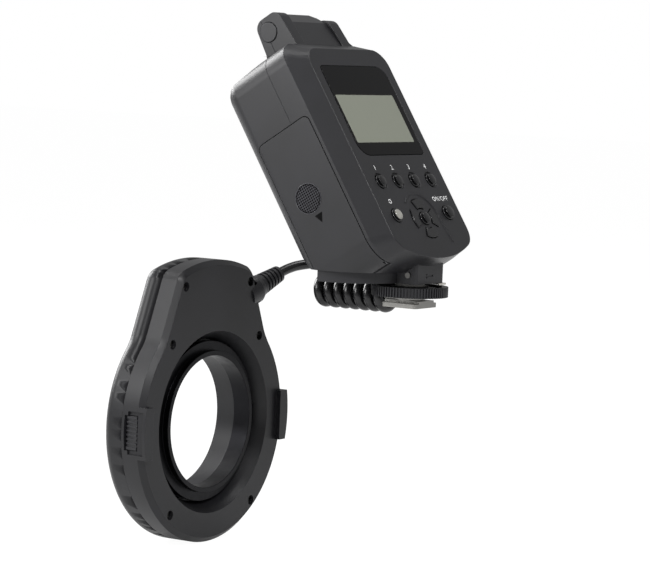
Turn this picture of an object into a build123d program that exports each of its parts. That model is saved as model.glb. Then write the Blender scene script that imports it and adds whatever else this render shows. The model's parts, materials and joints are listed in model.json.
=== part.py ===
# Macro ring flash: a tilted control unit on a hot-shoe foot, a flash ring that clips
# round the front of a lens, and the curly cord between them. Millimetres.
# The origin is the centre of the foot's underside. +X is right seen from behind,
# +Y is the way the flash fires, +Z is up.

import os
from math import cos, degrees, pi, radians, sin, sqrt, tan

from build123d import *

os.makedirs("parts", exist_ok=True)

# Fits shared by all pieces
slip = 0.3              # round a piece that moves without being guided
running = 0.05          # radial, between a pivot and its bore
seam = 0.25             # between a lid or button and the opening it fills
overrun = 3.0           # how far a cutting shape runs past what it cuts

# Control unit: its panel leans back from upright and passes over the foot
lean = 32.4
panel_y = -12.5
panel_z = 30.0
body_width = 73.0
body_depth = 47.2
body_top = 106.4        # heights up the panel count from the panel's datum
panel_top = 99.0
body_bottom = -8.0
belly_rise = 8.0        # how far the curved bottom edge climbs to each side
shoulder_width = 4.5    # the slope between the panel and the sides
shoulder_depth = 9.0
panel_corner = 9.0
body_corner = 13.0
body_top_corner = 11.0
front_round = 7.5
brow_angle = 9.0        # the front half's top falls away towards the front
chin_angle = 21.0       # and its foot tucks in
chin_height = 21.0
parting_depth = 20.0
wall = 2.2

# Base below the leaning body
base_top = 16.0
base_bottom = 11.0
base_wall = 2.0
base_screw_x = 25.0
base_screw_front = 20.0
neck_width = 23.0
neck_rear = -10.4
neck_height = 13.0
neck_length = 22.0
neck_edge = 1.2
arrow_length = 5.0
arrow_height = 2.4
arrow_depth = 0.4
neck_screw_radius = 1.3
neck_screw_rise = 4.0
neck_screw_y = -6.0
neck_screw_proud = 0.6
arrow_rise = 3.6

# Hinge block across the top of the control unit
lug_width = 7.0
lug_outer = 22.2
lug_near = 9.0          # from the cap's centre to the lug's rear and front edges
lug_far = 5.0
lug_spread = 2.0        # how much wider its foot is each way
lug_rises = (7.0, 3.9)  # from the cap's centre to the top of the left lug and the right
lug_corner = 4.8
fairing_rise = 8.0      # the slope that runs down from the right lug to the body
fairing_reach = 12.0
fairing_flat = 3.0
fairing_half = 7.5
lug_height = 118.2      # up the panel from its datum
lug_depth = 18.7
bridge_radius = 6.9
bridge_rise = 8.4       # from the cap's centre to the bridge's top
bridge_waist = 1.4
bridge_side_shares = (-1.5, -1.1, -0.4, 0.5, 1.1, 2.0)
bridge_half = 15.2
bridge_foot = 3.0       # how far its foot dips below the body's top
bridge_end_chamfer = 2.6
cap_radius = 4.6
cap_thickness = 1.6
cap_proud = 0.4
rib_cap_radius = 4.2
rib_cap_length = 5.0
rib_cap_ribs = 10
rib_cut = 0.5

# Window, display and the boards behind the panel
window_width = 52.4
window_low = 44.4
window_high = 90.0
window_large_corner = 7.0
window_small_corner = 2.5
window_thickness = 1.0
display_width = 48.0
display_low = 50.7
display_high = 75.0
board_thickness = 1.2
board_depth = 4.6
board_side_gap = 8.5
board_low = 1.5
board_high = 92.0
board_corner = 7.0
dome_radius = 1.8
dome_height = 0.8

# Keys: places are across and up the panel
key_proud = 0.5
key_flange = 0.7
key_edge = 0.4
key_flange_thickness = 0.6
function_radius = 3.1
function_row = 31.2
function_spacing = 13.87
well_radius = 4.1
well_depth = 0.9
side_key_x = 21.4
side_key_row = 14.0
pilot_radius = 3.2
power_radius = 3.4
pad_centre = 11.8
pad_inner = 5.2
pad_outer = 9.7
pad_gap_angle = 34.0
set_radius = 3.1
ridge_radius = 12.6     # the raised line that runs round the pad and down to the edge
ridge_width = 0.9
ridge_height = 0.35
ridge_start = 140
ridge_end = 5
ridge_foot = 14.6

# Battery door on the left side, its carrier and the cells behind it
door_high = 71.1
door_rear = 10.8
door_front = 41.2
door_corner = 3.0
door_thickness = 1.5
door_flap = 9.5         # how far it wraps under the body
grille_row = 38.4
grille_depth = 28.3
grille_radius = 6.8
grille_pitch = 1.7
grille_bar = 0.8
grille_sink = 0.8
mark_row = 27.8
mark_size = 4.4
mark_shift = 1.4
cell_radius = 7.1
cell_length = 49.5
cell_nub_radius = 2.6
cell_nub = 1.0
cell_play = 0.2
tray_wall = 0.7
tray_low = 11.0
tray_depth = 11.9
contact_thickness = 0.4
spring_radius = 3.0
spring_height = 3.4
hinge_pin_radius = 0.6
hinge_barrel_radius = 1.3
hinge_leaf = 0.7
hinge_near = 11.0       # where along the depth the leaf stands
hinge_far = 19.0
hinge_leaf_top = 16.0

# Power board, capacitor and charging coil
power_board_depth = 12.0
power_board_left = 3.0
power_board_low = 12.0
power_board_high = 88.0
capacitor_share = 0.287       # radius and place as shares of the room beside the bay
capacitor_length = 46.0
capacitor_place_share = 0.587
capacitor_low = 14.0
coil_size = 16.0
coil_height = 14.0
coil_low = 66.0

# Screws
screw_head_radius = 1.9
screw_head_height = 1.4
screw_shank_radius = 0.9
screw_shank_length = 5.0
screw_sink_gap = 0.3
screw_slot = 0.5
case_screw_places = ((-27.0, 88.0), (27.0, 88.0), (27.0, 30.0), (0.0, 30.0))

# Shoe foot and its lock
foot_width = 18.6
foot_length = 18.0
foot_thickness = 2.0
foot_corner = 1.5
rail_neck_width = 12.4
rail_neck_height = 1.2
stem_radius = 6.5
lock_plate_width = 18.0
lock_plate_length = 17.0
lock_plate_thickness = 0.9
lock_pin_radius = 1.15
lock_pin_travel = 1.3
lock_pin_y = 5.2
lock_pin_rest = 0.4
lock_plate_rest = 4.0
wheel_radius = 17.2
wheel_bottom = 5.0
wheel_thickness = 4.5
wheel_ribs = 76
wheel_rib_depth = 0.7
wheel_dish = 1.0
wheel_dish_radius = 14.6
contact_radius = 0.9
contact_proud = 0.4
contact_pitch = 4.4
contact_length = 3.2
stop_clip_width = 6.0
stop_clip_thickness = 0.5
stop_clip_length = 9.0
stop_clip_x = 12.5
stop_clip_rear = -11.2
stop_clip_drop = 0.9

contact_places = (
    (0, 0),
    (-contact_pitch, -contact_pitch),
    (contact_pitch, -contact_pitch),
    (-contact_pitch, -contact_pitch / 3),
    (contact_pitch, -contact_pitch / 3),
)

# Flash ring, centred on the lens axis
lens_axis_z = -63.2
ring_rear = 105.0
ring_radius = 57.0
ring_thickness = 22.0
ring_parting = 11.0
ring_wall = 2.0
lobe_top = 76.3
lobe_corner_height = 71.0
lobe_half_top = 28.5
lobe_half_foot = 41.5
lobe_foot_height = 39.0
lobe_corner = 8.0
lobe_blend = 22.0
ring_rear_bevel = 2.4
ring_front_round = 5.0
mouth_radius = 43.0
throat_radius = 38.5
bore_radius = 32.5
bore_wall = 1.6
funnel_depth = 9.0
throat_plate = 1.5
ring_screw_radius = 1.7
ring_screw_hole = 2.25
ring_boss_radius = 3.0
ring_screw_seat = 3.4      # how deep the heads sit below the rear face
ring_screw_places = (
    (-25.7, 65.0),
    (25.7, 65.0),
    (-34.4, 38.7),
    (34.4, 38.7),
    (-32.2, -40.6),
    (32.2, -40.6),
)

# Release buttons at the ring's sides, and the yokes they push
release_length = 15.7
release_height = 6.0
release_depth = 3.2      # from the ring's rear face to the button's near edge
release_proud = 0.4
release_ribs = 7
release_rib_depth = 0.5
release_recess_length = 19.9
release_recess_depth = -0.9
release_recess_height = 8.6
release_recess_sink = 1.8
release_centre = -0.85
release_body = 4.0
release_pad = 5.0
release_bulge = 2.6
release_bulge_length = 24.0
release_bulge_width = 6.5
yoke_thickness = 1.2
yoke_inner = 44.3
yoke_outer = 46.2
yoke_arm = 8.0
claw_width = 10.0
claw_tip = 36.6
yoke_depths = (6.4, 7.9)  # left yoke, right yoke
release_spring_radius = 1.6
release_spring_length = 2.7
release_spring_depth = 4.4
release_spring_spread = 5.6
release_spring_post = 1.2
spring_post_x = 45.6

# Lens adapter held by the claws
adapter_thread_radius = 33.5
adapter_bore_radius = 31.2
adapter_flange_radius = 37.9
adapter_thread_length = 3.0
adapter_groove_floor = 36.0
adapter_groove_near = 6.0
adapter_groove_far = 9.6
adapter_depth = 5.0
adapter_front = 11.2

# Flash windows, reflectors, tubes and focusing lamps
window_inner = 35.5
window_outer = 52.0
window_angle = 64.0      # each way from the side
window_corner = 1.5
tube_angle = 58.0
diffuser_thickness = 2.0
trough_depth = 6.5
trough_wall = 0.7
tube_radius = 2.0
lamp_radius = 3.4
lamp_length = 7.0
lamp_row = 43.8
ring_board_thickness = 1.4
ring_board_inset = 6.0
ring_board_low = 47.0

# Cord
cord_diameter = 4.8
curl_radius = 5.1
curl_pitch = 5.4
curl_turns = 6.75
curl_samples = 24       # points a turn where the gap between curls is measured
curl_x = 16.0
curl_y = 57.5
curl_z = 2.0
boot_base_radius = 7.0
boot_waist_radius = 5.4
boot_tip_radius = 4.0
boot_collar = 6.5
boot_length = 21.0
boot_ribs = 5
boot_rib_depth = 0.7
boot_sink = 4.0
boot_at = (32.5, 110.4, -3.7)
boot_direction = (0.918, -0.145, 0.372)
gland_radius = 4.6
gland_tip_radius = 3.4
lead_round_share = 0.45       # of the shorter run that each corner's arc takes up
cord_route = (
    (59.4, 106.15, 7.2),
    (68.0, 99.8, 9.0),
    (71.5, 89.8, 10.2),
    (69.5, 79.5, 10.6),
    (62.5, 71.0, 10.2),
    (51.5, 65.6, 9.0),
    (36.0, 60.88, 7.1),
)

# Planes and outlines
lean_sin = sin(radians(lean))
lean_cos = cos(radians(lean))
panel = Plane(origin=(0, panel_y, panel_z), x_dir=(1, 0, 0), z_dir=(0, -lean_cos, lean_sin))
up_panel = panel.y_dir
into_panel = -panel.z_dir
depth_axis = Axis(panel.origin, into_panel)
rise_axis = Axis(panel.origin, up_panel)
ring_face = Plane(origin=(0, ring_rear, lens_axis_z), x_dir=(1, 0, 0), z_dir=(0, -1, 0))


def panel_plane(depth):
    """A sketch plane parallel to the panel, depth inside its face."""
    return panel.offset(-depth)


def side_plane(x):
    """A sketch plane across the control unit at x, drawn as depth and height up the panel."""
    return Plane(origin=panel.origin + Vector(x, 0, 0), x_dir=into_panel, z_dir=(1, 0, 0))


def ring_plane(depth):
    """A sketch plane parallel to the ring's rear face, depth inside it."""
    return ring_face.offset(-depth)


def body_outline(inset, half_width, top, top_corner, corner):
    """Front view of the control unit: straight sides and top over a curved belly."""
    half = half_width - inset
    low = body_bottom + inset
    with BuildSketch() as outline:
        with BuildLine():
            belly = ThreePointArc((-half, low + belly_rise), (0, low), (half, low + belly_rise))
            Polyline(belly @ 1, (half, top - inset), (-half, top - inset), belly @ 0)
        make_face()
        ends = outline.vertices().sort_by(Axis.Y)
        fillet(ends[:2], corner - inset)
        fillet(outline.vertices().sort_by(Axis.Y)[-2:], top_corner - inset)
    return outline.sketch


def body_form(inset, floor):
    """The control unit's outer form drawn in by inset and cut level at floor."""
    near = body_outline(inset, body_width / 2 - shoulder_width, panel_top, panel_corner, panel_corner)
    far = body_outline(inset, body_width / 2, body_top, body_top_corner, body_corner)
    with BuildPart() as form:
        with BuildSketch(panel_plane(inset)):
            add(near)
        with BuildSketch(panel_plane(shoulder_depth)):
            add(far)
        loft(ruled=True)
        with BuildSketch(panel_plane(shoulder_depth)):
            add(far)
        extrude(amount=shoulder_depth + inset - body_depth)
        brow = Plane(
            origin=panel.origin + up_panel * (body_top - inset) + into_panel * parting_depth,
            x_dir=(1, 0, 0),
            z_dir=up_panel * cos(radians(brow_angle)) + into_panel * sin(radians(brow_angle)),
        )
        split(bisect_by=brow, keep=Keep.BOTTOM)
        front = form.faces().filter_by(panel).sort_by(depth_axis)[-1]
        fillet(front.edges(), front_round - inset)
        chin = Plane(
            origin=panel.origin + up_panel * chin_height + into_panel * body_depth,
            x_dir=(1, 0, 0),
            z_dir=into_panel * cos(radians(chin_angle)) - up_panel * sin(radians(chin_angle)),
        )
        split(bisect_by=chin.offset(-inset), keep=Keep.BOTTOM)
        split(bisect_by=Plane.XY.offset(floor), keep=Keep.TOP)
    return form.part


def ring_outline(inset):
    """Rear view of the flash ring: a disc with a lobe on top that takes the cord."""
    with BuildSketch() as outline:
        Circle(ring_radius)
        with BuildLine():
            crown = ThreePointArc(
                (-lobe_half_top, lobe_corner_height), (0, lobe_top), (lobe_half_top, lobe_corner_height)
            )
            Polyline(crown @ 1, (lobe_half_foot, lobe_foot_height), (-lobe_half_foot, lobe_foot_height), crown @ 0)
        make_face()
        corners = outline.vertices().sort_by(Axis.Y)[-2:]
        fillet(corners, lobe_corner)
        feet = [
            place
            for place in outline.vertices()
            if abs(place.Y - lobe_foot_height) < lobe_corner and abs(place.X) > lobe_half_top
        ]
        fillet(feet, lobe_blend)
        offset(amount=-inset)
    return outline.sketch


outer_form = body_form(0, base_top)
inner_form = body_form(wall, base_top)
base_inset = door_thickness + slip
slab_foot = body_form(base_inset, base_top).faces().filter_by(Plane.XY).sort_by(Axis.Z)[0]
hollow_foot = body_form(base_inset + base_wall, base_top).faces().filter_by(Plane.XY).sort_by(Axis.Z)[0]
ring_shape = ring_outline(0)
ring_hollow = ring_outline(ring_wall)

# Shapes that several pieces share


def door_outline(gap):
    """Side view of the battery door, grown by gap at its seams, open past the belly."""
    with BuildSketch() as outline:
        with BuildLine():
            Polyline(
                (door_rear - gap, body_bottom - overrun),
                (door_rear - gap, door_high + gap),
                (door_front + gap, door_high + gap),
                (door_front + gap, body_bottom - overrun),
                close=True,
            )
        make_face()
        fillet(outline.vertices().group_by(Axis.Y)[-1], door_corner + gap)
    return outline.sketch


def door_block(gap):
    """All that lies behind the door's outline, from the left side in to its flap's edge."""
    with BuildPart() as block:
        with BuildSketch(side_plane(-body_width / 2 - overrun)):
            add(door_outline(gap))
        extrude(amount=door_flap + overrun + (gap + hinge_barrel_radius if gap > 0 else 0))
    return block.part


def lug_outline(rise):
    """Side view of the hinge block's lug: a rounded top on a foot that widens downwards."""
    with BuildSketch() as outline:
        with BuildLine():
            Polyline(
                (lug_depth - lug_near - lug_spread, body_top - wall * 2),
                (lug_depth - lug_near, lug_height + rise),
                (lug_depth + lug_far, lug_height + rise),
                (lug_depth + lug_far + lug_spread, body_top - wall * 2),
                close=True,
            )
        make_face()
        fillet(outline.vertices().sort_by(Axis.Y)[-2:], lug_corner)
    return outline.sketch


def lugs():
    """Both lugs of the hinge block, bored for their caps."""
    with BuildPart() as block:
        for side, rise in zip((-1, 1), lug_rises):
            with BuildSketch(side_plane(side * (lug_outer - lug_width / 2) - lug_width / 2)):
                add(lug_outline(rise))
            extrude(amount=lug_width)
        with BuildSketch(panel_plane(lug_depth - fairing_half)):
            with BuildLine():
                Polyline(
                    (lug_outer - wall, body_top - wall),
                    (lug_outer - wall, body_top + fairing_rise),
                    (lug_outer + fairing_flat, body_top + fairing_rise - fairing_flat),
                    (lug_outer + fairing_reach, body_top - wall),
                    close=True,
                )
            make_face()
        extrude(amount=-2 * fairing_half)
        with BuildSketch(side_plane(-lug_outer)):
            with Locations((lug_depth, lug_height)):
                Circle(cap_radius)
        extrude(amount=cap_thickness, mode=Mode.SUBTRACT)
        with BuildSketch(side_plane(lug_outer - cap_thickness)):
            with Locations((lug_depth, lug_height)):
                Circle(rib_cap_radius)
        extrude(amount=cap_thickness + fairing_reach, mode=Mode.SUBTRACT)
    return block.part


lug_pair = lugs()
door_opening = door_block(seam)

key_places = {}
for number in range(4):
    key_places["function_button_" + str(number + 1)] = (
        (number - 1.5) * function_spacing,
        function_row,
        function_radius,
    )
key_places["pilot_button"] = (-side_key_x, side_key_row, pilot_radius)
key_places["power_button"] = (side_key_x, side_key_row, power_radius)
key_places["set_button"] = (0, pad_centre, set_radius)

pad_places = {"pad_right": 0, "pad_up": 90, "pad_left": 180, "pad_down": 270}


def pad_outline(turn, gap):
    """One arched segment of the four-way pad, centred on turn and grown by gap."""
    half_angle = 45 - pad_gap_angle / 2 + degrees(gap / pad_outer)
    inner = pad_inner - gap
    outer = pad_outer + gap
    middle = radians(turn)
    first = radians(turn - half_angle)
    last = radians(turn + half_angle)
    with BuildSketch() as outline:
        with BuildLine():
            rim = ThreePointArc(
                (outer * cos(first), outer * sin(first)),
                (outer * cos(middle), outer * sin(middle)),
                (outer * cos(last), outer * sin(last)),
            )
            root = ThreePointArc(
                (inner * cos(last), inner * sin(last)),
                (inner * cos(middle), inner * sin(middle)),
                (inner * cos(first), inner * sin(first)),
            )
            Line(rim @ 1, root @ 0)
            Line(root @ 1, rim @ 0)
        make_face()
    return outline.sketch


def window_outline(gap):
    """The window's plate: two tight corners and two wide ones, grown by gap."""
    half = window_width / 2 + gap
    low = window_low - gap
    high = window_high + gap
    with BuildSketch() as outline:
        with Locations((0, (low + high) / 2)):
            Rectangle(2 * half, high - low)
        for across, rise, radius in (
            (half, high, window_large_corner),
            (-half, low, window_large_corner),
            (-half, high, window_small_corner),
            (half, low, window_small_corner),
        ):
            fillet(outline.vertices().sort_by_distance((across, rise))[0], radius + gap)
    return outline.sketch


# Rear shell: the panel side of the control unit
with BuildPart() as rear_shell:
    add(outer_form)
    add(lug_pair)
    split(bisect_by=panel_plane(parting_depth), keep=Keep.TOP)
    add(inner_form, mode=Mode.SUBTRACT)
    add(door_opening, mode=Mode.SUBTRACT)
    with BuildSketch(panel_plane(0)):
        add(window_outline(seam))
    extrude(amount=-window_thickness, mode=Mode.SUBTRACT)
    with BuildSketch(panel_plane(0)):
        with Locations((0, (display_low + display_high) / 2)):
            Rectangle(display_width, display_high - display_low)
    extrude(amount=-wall - overrun, mode=Mode.SUBTRACT)
    for x, row, radius in key_places.values():
        with BuildSketch(panel_plane(0)):
            with Locations((x, row)):
                Circle(radius + seam)
        extrude(amount=-wall - overrun, mode=Mode.SUBTRACT)
    for x, row, radius in [key_places["function_button_" + str(number + 1)] for number in range(4)]:
        with BuildSketch(panel_plane(0)):
            with Locations((x, row)):
                Circle(well_radius)
        extrude(amount=-well_depth, mode=Mode.SUBTRACT)
    for turn in pad_places.values():
        with BuildSketch(panel_plane(0)):
            with Locations((0, pad_centre)):
                add(pad_outline(turn, seam))
        extrude(amount=-wall - overrun, mode=Mode.SUBTRACT)
    with BuildSketch(panel_plane(0)):
        with BuildLine():
            arch = CenterArc((0, pad_centre), ridge_radius, ridge_end, ridge_start - ridge_end)
            Line(arch @ 0, (ridge_foot, pad_centre - ridge_radius))
        trace(line_width=ridge_width)
    extrude(amount=ridge_height)
rear_shell.part.label = "rear_shell"
export_step(rear_shell.part, "parts/rear_shell.step")


# Front shell: the deeper half towards the subject
with BuildPart() as front_shell:
    add(outer_form)
    add(lug_pair)
    split(bisect_by=panel_plane(parting_depth), keep=Keep.BOTTOM)
    add(inner_form, mode=Mode.SUBTRACT)
    add(door_opening, mode=Mode.SUBTRACT)
    with BuildSketch(panel_plane(body_depth)):
        with Locations(*case_screw_places):
            Circle(screw_head_radius + seam)
    extrude(amount=screw_head_height, mode=Mode.SUBTRACT)
    with BuildSketch(panel_plane(body_depth)):
        with Locations(*case_screw_places):
            Circle(screw_shank_radius)
    extrude(amount=wall + overrun, mode=Mode.SUBTRACT)

# The belly's loose end beside the door belongs to the door's opening, so it is left out
with BuildPart() as front_case:
    add(front_shell.part.solids().sort_by(SortBy.VOLUME)[-1])
front_case.part.label = "front_shell"
export_step(front_case.part, "parts/front_shell.step")

# Screws that hold the two shells together, sunk in the front
with BuildPart() as case_screws:
    with BuildSketch(panel_plane(body_depth - screw_sink_gap)):
        with Locations(*case_screw_places):
            Circle(screw_head_radius)
    extrude(amount=screw_head_height - screw_sink_gap)
    with BuildSketch(panel_plane(body_depth - screw_head_height)):
        with Locations(*case_screw_places):
            Circle(screw_shank_radius)
    extrude(amount=screw_shank_length)
    with BuildSketch(panel_plane(body_depth - screw_sink_gap)):
        with Locations(*case_screw_places):
            Rectangle(screw_head_radius * 1.2, screw_slot)
            Rectangle(screw_slot, screw_head_radius * 1.2)
    extrude(amount=screw_slot, mode=Mode.SUBTRACT)
case_screws.part.label = "case_screws"
export_step(case_screws.part, "parts/case_screws.step")

# Bridge: the faceted housing between the hinge block's lugs
bridge_levels = (
    body_top - bridge_foot,
    lug_height + bridge_waist,
    lug_height + bridge_rise,
    lug_height + bridge_rise,
    lug_height + bridge_waist,
    body_top - bridge_foot,
)
with BuildPart() as bridge_cover:
    with BuildSketch(side_plane(-bridge_half)):
        with BuildLine():
            Polyline(
                *[
                    (lug_depth + bridge_radius * share, level)
                    for share, level in zip(bridge_side_shares, bridge_levels)
                ],
                close=True,
            )
        make_face()
    extrude(amount=2 * bridge_half)
    ends = bridge_cover.faces().filter_by(Axis.X)
    chamfer(ends.edges().group_by(rise_axis)[-1], bridge_end_chamfer)
    add(outer_form, mode=Mode.SUBTRACT)
bridge_cover.part.label = "bridge_cover"
export_step(bridge_cover.part, "parts/bridge_cover.step")

# Round caps let into the lugs' outer faces, the right one ribbed
with BuildPart() as hinge_caps:
    with BuildSketch(side_plane(-lug_outer - cap_proud)):
        with Locations((lug_depth, lug_height)):
            Circle(cap_radius)
    extrude(amount=cap_thickness + cap_proud)
    fillet(hinge_caps.edges().group_by(Axis.X)[0], cap_proud)
    with BuildSketch(side_plane(lug_outer - cap_thickness)):
        with Locations((lug_depth, lug_height)):
            Circle(rib_cap_radius)
    extrude(amount=cap_thickness + rib_cap_length)
    with BuildSketch(side_plane(lug_outer)):
        with Locations((lug_depth, lug_height)):
            with PolarLocations(rib_cap_radius, rib_cap_ribs):
                Circle(rib_cut)
    extrude(amount=rib_cap_length, mode=Mode.SUBTRACT)
hinge_caps.part.label = "hinge_caps"
export_step(hinge_caps.part, "parts/hinge_caps.step")

# Base: the slab under the leaning body and the neck block that carries the foot
with BuildPart() as base_slab:
    extrude(slab_foot, amount=base_top - base_bottom, dir=(0, 0, -1))
    extrude(hollow_foot, amount=base_top - base_bottom - base_wall, dir=(0, 0, -1), mode=Mode.SUBTRACT)

with BuildPart() as base_block:
    with BuildSketch(Plane.XY.offset(base_bottom)):
        with Locations((0, neck_rear + neck_length / 2)):
            RectangleRounded(neck_width, neck_length, neck_edge)
    extrude(amount=neck_height)
    add(outer_form, mode=Mode.SUBTRACT)
    add(base_slab.part)
    with BuildSketch(Plane.XZ.offset(-neck_rear)):
        with Locations((0, base_bottom + arrow_rise)):
            Rectangle(arrow_length, arrow_height / 3)
        with Locations((-arrow_length / 2, base_bottom + arrow_rise)):
            Polygon((0, -arrow_height / 2), (0, arrow_height / 2), (-arrow_height, 0))
    extrude(amount=-arrow_depth, mode=Mode.SUBTRACT)
    with BuildSketch(Plane.YZ.offset(-neck_width / 2)):
        with Locations((neck_screw_y, base_bottom + neck_screw_rise)):
            Circle(neck_screw_radius)
    extrude(amount=screw_head_height, mode=Mode.SUBTRACT)
    for x in (-base_screw_x, base_screw_x):
        with BuildSketch(Plane.XY.offset(base_bottom)):
            with Locations((x, base_screw_front)):
                Circle(screw_head_radius + seam)
        extrude(amount=screw_head_height, mode=Mode.SUBTRACT)
base_block.part.label = "base_block"
export_step(base_block.part, "parts/base_block.step")

# Screws under the base and the bright screw on the neck's left side
with BuildPart() as base_screws:
    for x in (-base_screw_x, base_screw_x):
        with BuildSketch(Plane.XY.offset(base_bottom + screw_sink_gap)):
            with Locations((x, base_screw_front)):
                Circle(screw_head_radius)
        extrude(amount=screw_head_height - screw_sink_gap)
    with BuildSketch(Plane.YZ.offset(-neck_width / 2 - neck_screw_proud)):
        with Locations((neck_screw_y, base_bottom + neck_screw_rise)):
            Circle(neck_screw_radius)
    extrude(amount=screw_head_height + neck_screw_proud)
base_screws.part.label = "base_screws"
export_step(base_screws.part, "parts/base_screws.step")

# Window: the glossy plate over the display
with BuildPart() as window_plate:
    with BuildSketch(panel_plane(0)):
        add(window_outline(0))
    extrude(amount=-window_thickness)
window_plate.part.label = "window_plate"
export_step(window_plate.part, "parts/window_plate.step")

# Display module, held in the opening behind the window
display_middle = (display_low + display_high) / 2
display_rise = display_high - display_low
with BuildPart() as display_module:
    with BuildSketch(panel_plane(window_thickness)):
        with Locations((0, display_middle)):
            Rectangle(display_width - 2 * seam, display_rise - 2 * seam)
    extrude(amount=window_thickness - board_depth)
display_module.part.label = "display_module"
export_step(display_module.part, "parts/display_module.step")

# Panel board: carries the display and a press dome under each key
pad_middle = (pad_inner + pad_outer) / 2
dome_places = [(x, row) for x, row, radius in key_places.values()]
for turn in pad_places.values():
    dome_places.append((pad_middle * cos(radians(turn)), pad_centre + pad_middle * sin(radians(turn))))

with BuildPart() as panel_board:
    with BuildSketch(panel_plane(board_depth)) as board_face:
        with Locations((0, (board_low + board_high) / 2)):
            RectangleRounded(body_width - 2 * board_side_gap, board_high - board_low, board_corner)
    extrude(amount=-board_thickness)
    with BuildSketch(panel_plane(board_depth)):
        with Locations(*dome_places):
            Circle(dome_radius)
    extrude(amount=dome_height)
panel_board.part.label = "panel_board"
export_step(panel_board.part, "parts/panel_board.step")

# Round keys, each with a flange that holds it behind the panel
for name, (x, row, radius) in key_places.items():
    sink = key_proud if name.startswith("function") else 0
    with BuildPart() as key:
        with BuildSketch(panel_plane(sink - key_proud)):
            with Locations((x, row)):
                Circle(radius)
        extrude(amount=sink - key_proud - wall - running)
        fillet(key.edges().group_by(depth_axis)[0], key_edge)
        with BuildSketch(panel_plane(wall + running)):
            with Locations((x, row)):
                Circle(radius + key_flange)
        extrude(amount=-key_flange_thickness)
    key.part.label = name
    export_step(key.part, "parts/" + name + ".step")

# Four-way pad: arched keys round the set key
for name, turn in pad_places.items():
    with BuildPart() as key:
        with BuildSketch(panel_plane(-key_proud)):
            with Locations((0, pad_centre)):
                add(pad_outline(turn, 0))
        extrude(amount=-key_proud - wall - running)
        chamfer(key.faces().sort_by(depth_axis)[0].edges(), key_edge / 2)
        with BuildSketch(panel_plane(wall + running)):
            with Locations((0, pad_centre)):
                add(pad_outline(turn, key_flange))
        extrude(amount=-key_flange_thickness)
    key.part.label = name
    export_step(key.part, "parts/" + name + ".step")

# Battery door: a piece of the body's skin with a barrel along the edge of its flap
pin_x = door_flap - body_width / 2
belly_radius = ((body_width / 2) ** 2 + belly_rise**2) / (2 * belly_rise)
pin_rise = body_bottom + belly_radius - sqrt(belly_radius**2 - pin_x**2) + hinge_barrel_radius
skin_form = body_form(door_thickness, base_top)
pin_seat = Plane(
    origin=panel.origin + Vector(pin_x, 0, 0) + up_panel * pin_rise, x_dir=(1, 0, 0), z_dir=into_panel
)

with BuildPart() as battery_door:
    add(outer_form)
    add(skin_form, mode=Mode.SUBTRACT)
    add(door_block(0), mode=Mode.INTERSECT)
    with BuildSketch(pin_seat.offset(hinge_near - slip)):
        Rectangle(4 * hinge_barrel_radius, 4 * hinge_barrel_radius)
    extrude(amount=hinge_leaf + 2 * slip, mode=Mode.SUBTRACT)
    with BuildSketch(pin_seat.offset(hinge_near + hinge_leaf + slip)):
        Circle(hinge_barrel_radius)
    extrude(amount=hinge_far - hinge_near - hinge_leaf - slip)
    with BuildSketch(pin_seat):
        Circle(hinge_pin_radius + running)
    extrude(amount=hinge_far + overrun, mode=Mode.SUBTRACT)
    grille_face = Plane(
        origin=panel.origin + Vector(-body_width / 2, 0, 0) + up_panel * grille_row + into_panel * grille_depth,
        x_dir=into_panel,
        z_dir=(-1, 0, 0),
    )
    with BuildSketch(grille_face) as grille:
        Circle(grille_radius)
        with GridLocations(grille_pitch, grille_pitch, 9, 1):
            Rectangle(grille_bar, 3 * grille_radius, mode=Mode.SUBTRACT)
        with GridLocations(grille_pitch, grille_pitch, 1, 9):
            Rectangle(3 * grille_radius, grille_bar, mode=Mode.SUBTRACT)
    extrude(amount=-grille_sink, mode=Mode.SUBTRACT)
    with BuildSketch(grille_face):
        with Locations((-mark_shift, grille_row - mark_row)):
            Polygon((-mark_size / 2, -mark_size / 2), (mark_size / 2, -mark_size / 2), (0, mark_size / 2))
    extrude(amount=-arrow_depth, mode=Mode.SUBTRACT)
battery_door.part.label = "battery_door"
export_step(battery_door.part, "parts/battery_door.step")

# Door slide: a leaf inside the body whose pin carries the door
leaf_form = body_form(door_thickness + slip, base_top)
with BuildPart() as door_slide:
    with BuildSketch(pin_seat.offset(hinge_near)):
        with Locations((0, 0)):
            Rectangle(door_flap, hinge_leaf_top - pin_rise, align=(Align.MAX, Align.MAX))
    extrude(amount=hinge_leaf)
    add(leaf_form, mode=Mode.INTERSECT)
    with BuildSketch(pin_seat.offset(hinge_near)):
        Circle(hinge_barrel_radius)
    extrude(amount=hinge_leaf)
    with BuildSketch(pin_seat.offset(hinge_near)):
        Circle(hinge_pin_radius)
    extrude(amount=hinge_far - hinge_near)
door_slide.part.label = "door_slide"
export_step(door_slide.part, "parts/door_slide.step")

# Battery tray, open towards the door
spring_room = contact_thickness + spring_height
bay_left = wall + slip - body_width / 2
bay_depth = 4 * (cell_radius + cell_play)
bay_high = cell_length + cell_nub + spring_room + contact_thickness
bay_low = tray_low + tray_wall
tray_limit = body_form(wall + slip, base_top)
with BuildPart() as battery_tray:
    with BuildSketch(side_plane(bay_left)):
        with Locations((tray_depth, tray_low)):
            Rectangle(bay_depth + 2 * tray_wall, bay_high + 2 * tray_wall, align=(Align.MIN, Align.MIN))
    extrude(amount=bay_depth + tray_wall)
    with BuildSketch(side_plane(bay_left)):
        with Locations((tray_depth + tray_wall, bay_low)):
            Rectangle(bay_depth, bay_high, align=(Align.MIN, Align.MIN))
    extrude(amount=bay_depth, mode=Mode.SUBTRACT)
    add(tray_limit, mode=Mode.INTERSECT)
battery_tray.part.label = "battery_tray"
export_step(battery_tray.part, "parts/battery_tray.step")

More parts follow.
